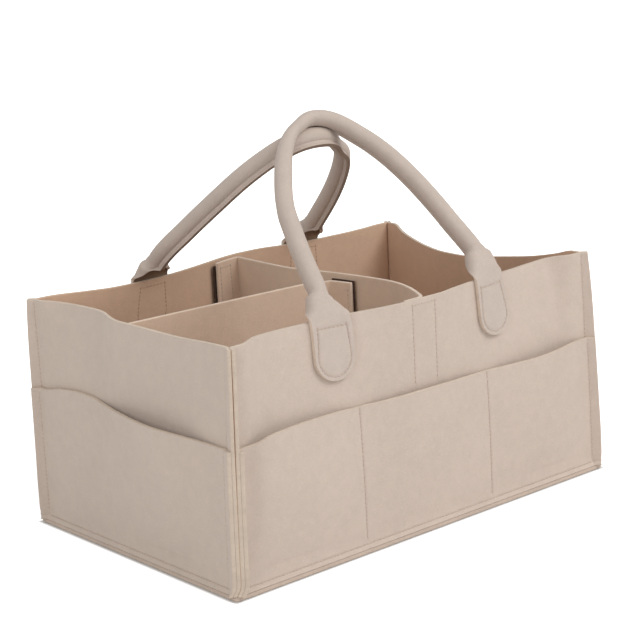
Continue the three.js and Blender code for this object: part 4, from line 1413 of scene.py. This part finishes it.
WORLD_LIGHT = 0.52
FLOOR_HALF = 12.0
FLOOR_DROP = 0.0006
SHADOW_RANGE = (0.22, 0.8, 0.6, 1.0)
CONTACT_RANGE = (0.0006, 0.0026, 0.0, 1.0)


def make_floor():
    """A pale floor: white to the camera, greyer near the caddy, dark in the line under its base."""
    mesh = bpy.data.meshes.new("studio_floor")
    corners = [(FLOOR_HALF * x, FLOOR_HALF * y, 0) for x, y in ((-1, -1), (1, -1), (1, 1), (-1, 1))]
    mesh.from_pydata(corners, [], [(0, 1, 2, 3)])
    floor = collect(bpy.data.objects.new("studio_floor", mesh))
    floor.location.z = -FLOOR_DROP
    material, n, shader = new_material("studio_floor")
    shader.inputs["Base Color"].default_value = (0.9, 0.9, 0.9, 1.0)
    shader.inputs["Roughness"].default_value = 1.0
    shader.inputs["Specular IOR Level"].default_value = 0.0
    place = n.add("ShaderNodeTexCoord").outputs["Object"]
    reach = n.add("ShaderNodeVectorMath", operation="LENGTH")
    n.link(place, reach.inputs[0])
    axes = n.add("ShaderNodeSeparateXYZ")
    n.link(place, axes.inputs[0])
    past = [n.math("SUBTRACT", n.math("ABSOLUTE", axes.outputs[axis], 0.0), side / 2 * MM)
            for axis, side in (("X", BASE_LENGTH), ("Y", BASE_WIDTH))]
    beside = n.math("MAXIMUM", *past)
    near = n.spread(reach.outputs["Value"], *SHADOW_RANGE)
    glow = n.math("MULTIPLY", near, n.spread(beside, *CONTACT_RANGE))
    seen = n.add("ShaderNodeLightPath").outputs["Is Camera Ray"]
    n.link(n.mix(n.math("MULTIPLY", seen, glow), (0.0, 0.0, 0.0, 1.0), (1.0, 1.0, 1.0, 1.0)),
           shader.inputs["Emission Color"])
    shader.inputs["Emission Strength"].default_value = 1.0
    mesh.materials.append(material)


def make_world():
    """White to the camera, and a soft even light on the object."""
    world = bpy.data.worlds.new("studio")
    bpy.context.scene.world = world
    world.use_nodes = True
    n = Nodes(world.node_tree)
    back = world.node_tree.nodes["Background"]
    back.inputs["Color"].default_value = (1, 1, 1, 1)
    path = n.add("ShaderNodeLightPath")
    n.link(n.spread(path.outputs["Is Camera Ray"], 0, 1, WORLD_LIGHT, 1.0), back.inputs["Strength"])


def make_lamp(name, place, aim, size, power):
    light = bpy.data.lights.new(name, "AREA")
    light.size = size
    light.energy = power
    lamp = collect(bpy.data.objects.new(name, light))
    lamp.location = place
    lamp.rotation_euler = (Vector(aim) - Vector(place)).to_track_quat("-Z", "Y").to_euler()


# The photograph's viewpoint: turn, height angle and roll in degrees, the point aimed at and the distance
CAMERA_ANGLES = (-40.251, 14.126, -2.992)
CAMERA_AIM = (7.117, 6.276, 140.0)
CAMERA_DISTANCE = 1486.137
FOCAL_PIXELS = 1897.0
PICTURE_PIXELS = 640
SENSOR_WIDTH = 36


def make_camera():
    azimuth, elevation, roll = (math.radians(a) for a in CAMERA_ANGLES)
    back = Vector((math.sin(azimuth) * math.cos(elevation), -math.cos(azimuth) * math.cos(elevation),
                   math.sin(elevation)))
    right = Vector((math.cos(azimuth), math.sin(azimuth), 0))
    up = back.cross(right)
    across = math.cos(roll) * right + math.sin(roll) * up
    upward = -math.sin(roll) * right + math.cos(roll) * up
    place = (Vector(CAMERA_AIM) + back * CAMERA_DISTANCE) * MM
    data = bpy.data.cameras.new("camera")
    data.sensor_width = SENSOR_WIDTH
    data.lens = FOCAL_PIXELS / PICTURE_PIXELS * SENSOR_WIDTH
    data.clip_end = 100
    camera = collect(bpy.data.objects.new("camera", data))
    rows = [(across[k], upward[k], back[k], place[k]) for k in range(3)]
    camera.matrix_world = Matrix(rows + [(0, 0, 0, 1)])
    bpy.context.scene.camera = camera


make_floor()
make_world()
make_lamp("key_softbox", (0.9, -1.7, 1.9), (0, 0, 0.12), 1.6, 34)
make_lamp("fill_softbox", (-1.9, -0.6, 1.1), (0, 0, 0.12), 1.5, 12)
make_camera()
bpy.context.scene.view_settings.view_transform = "Standard"
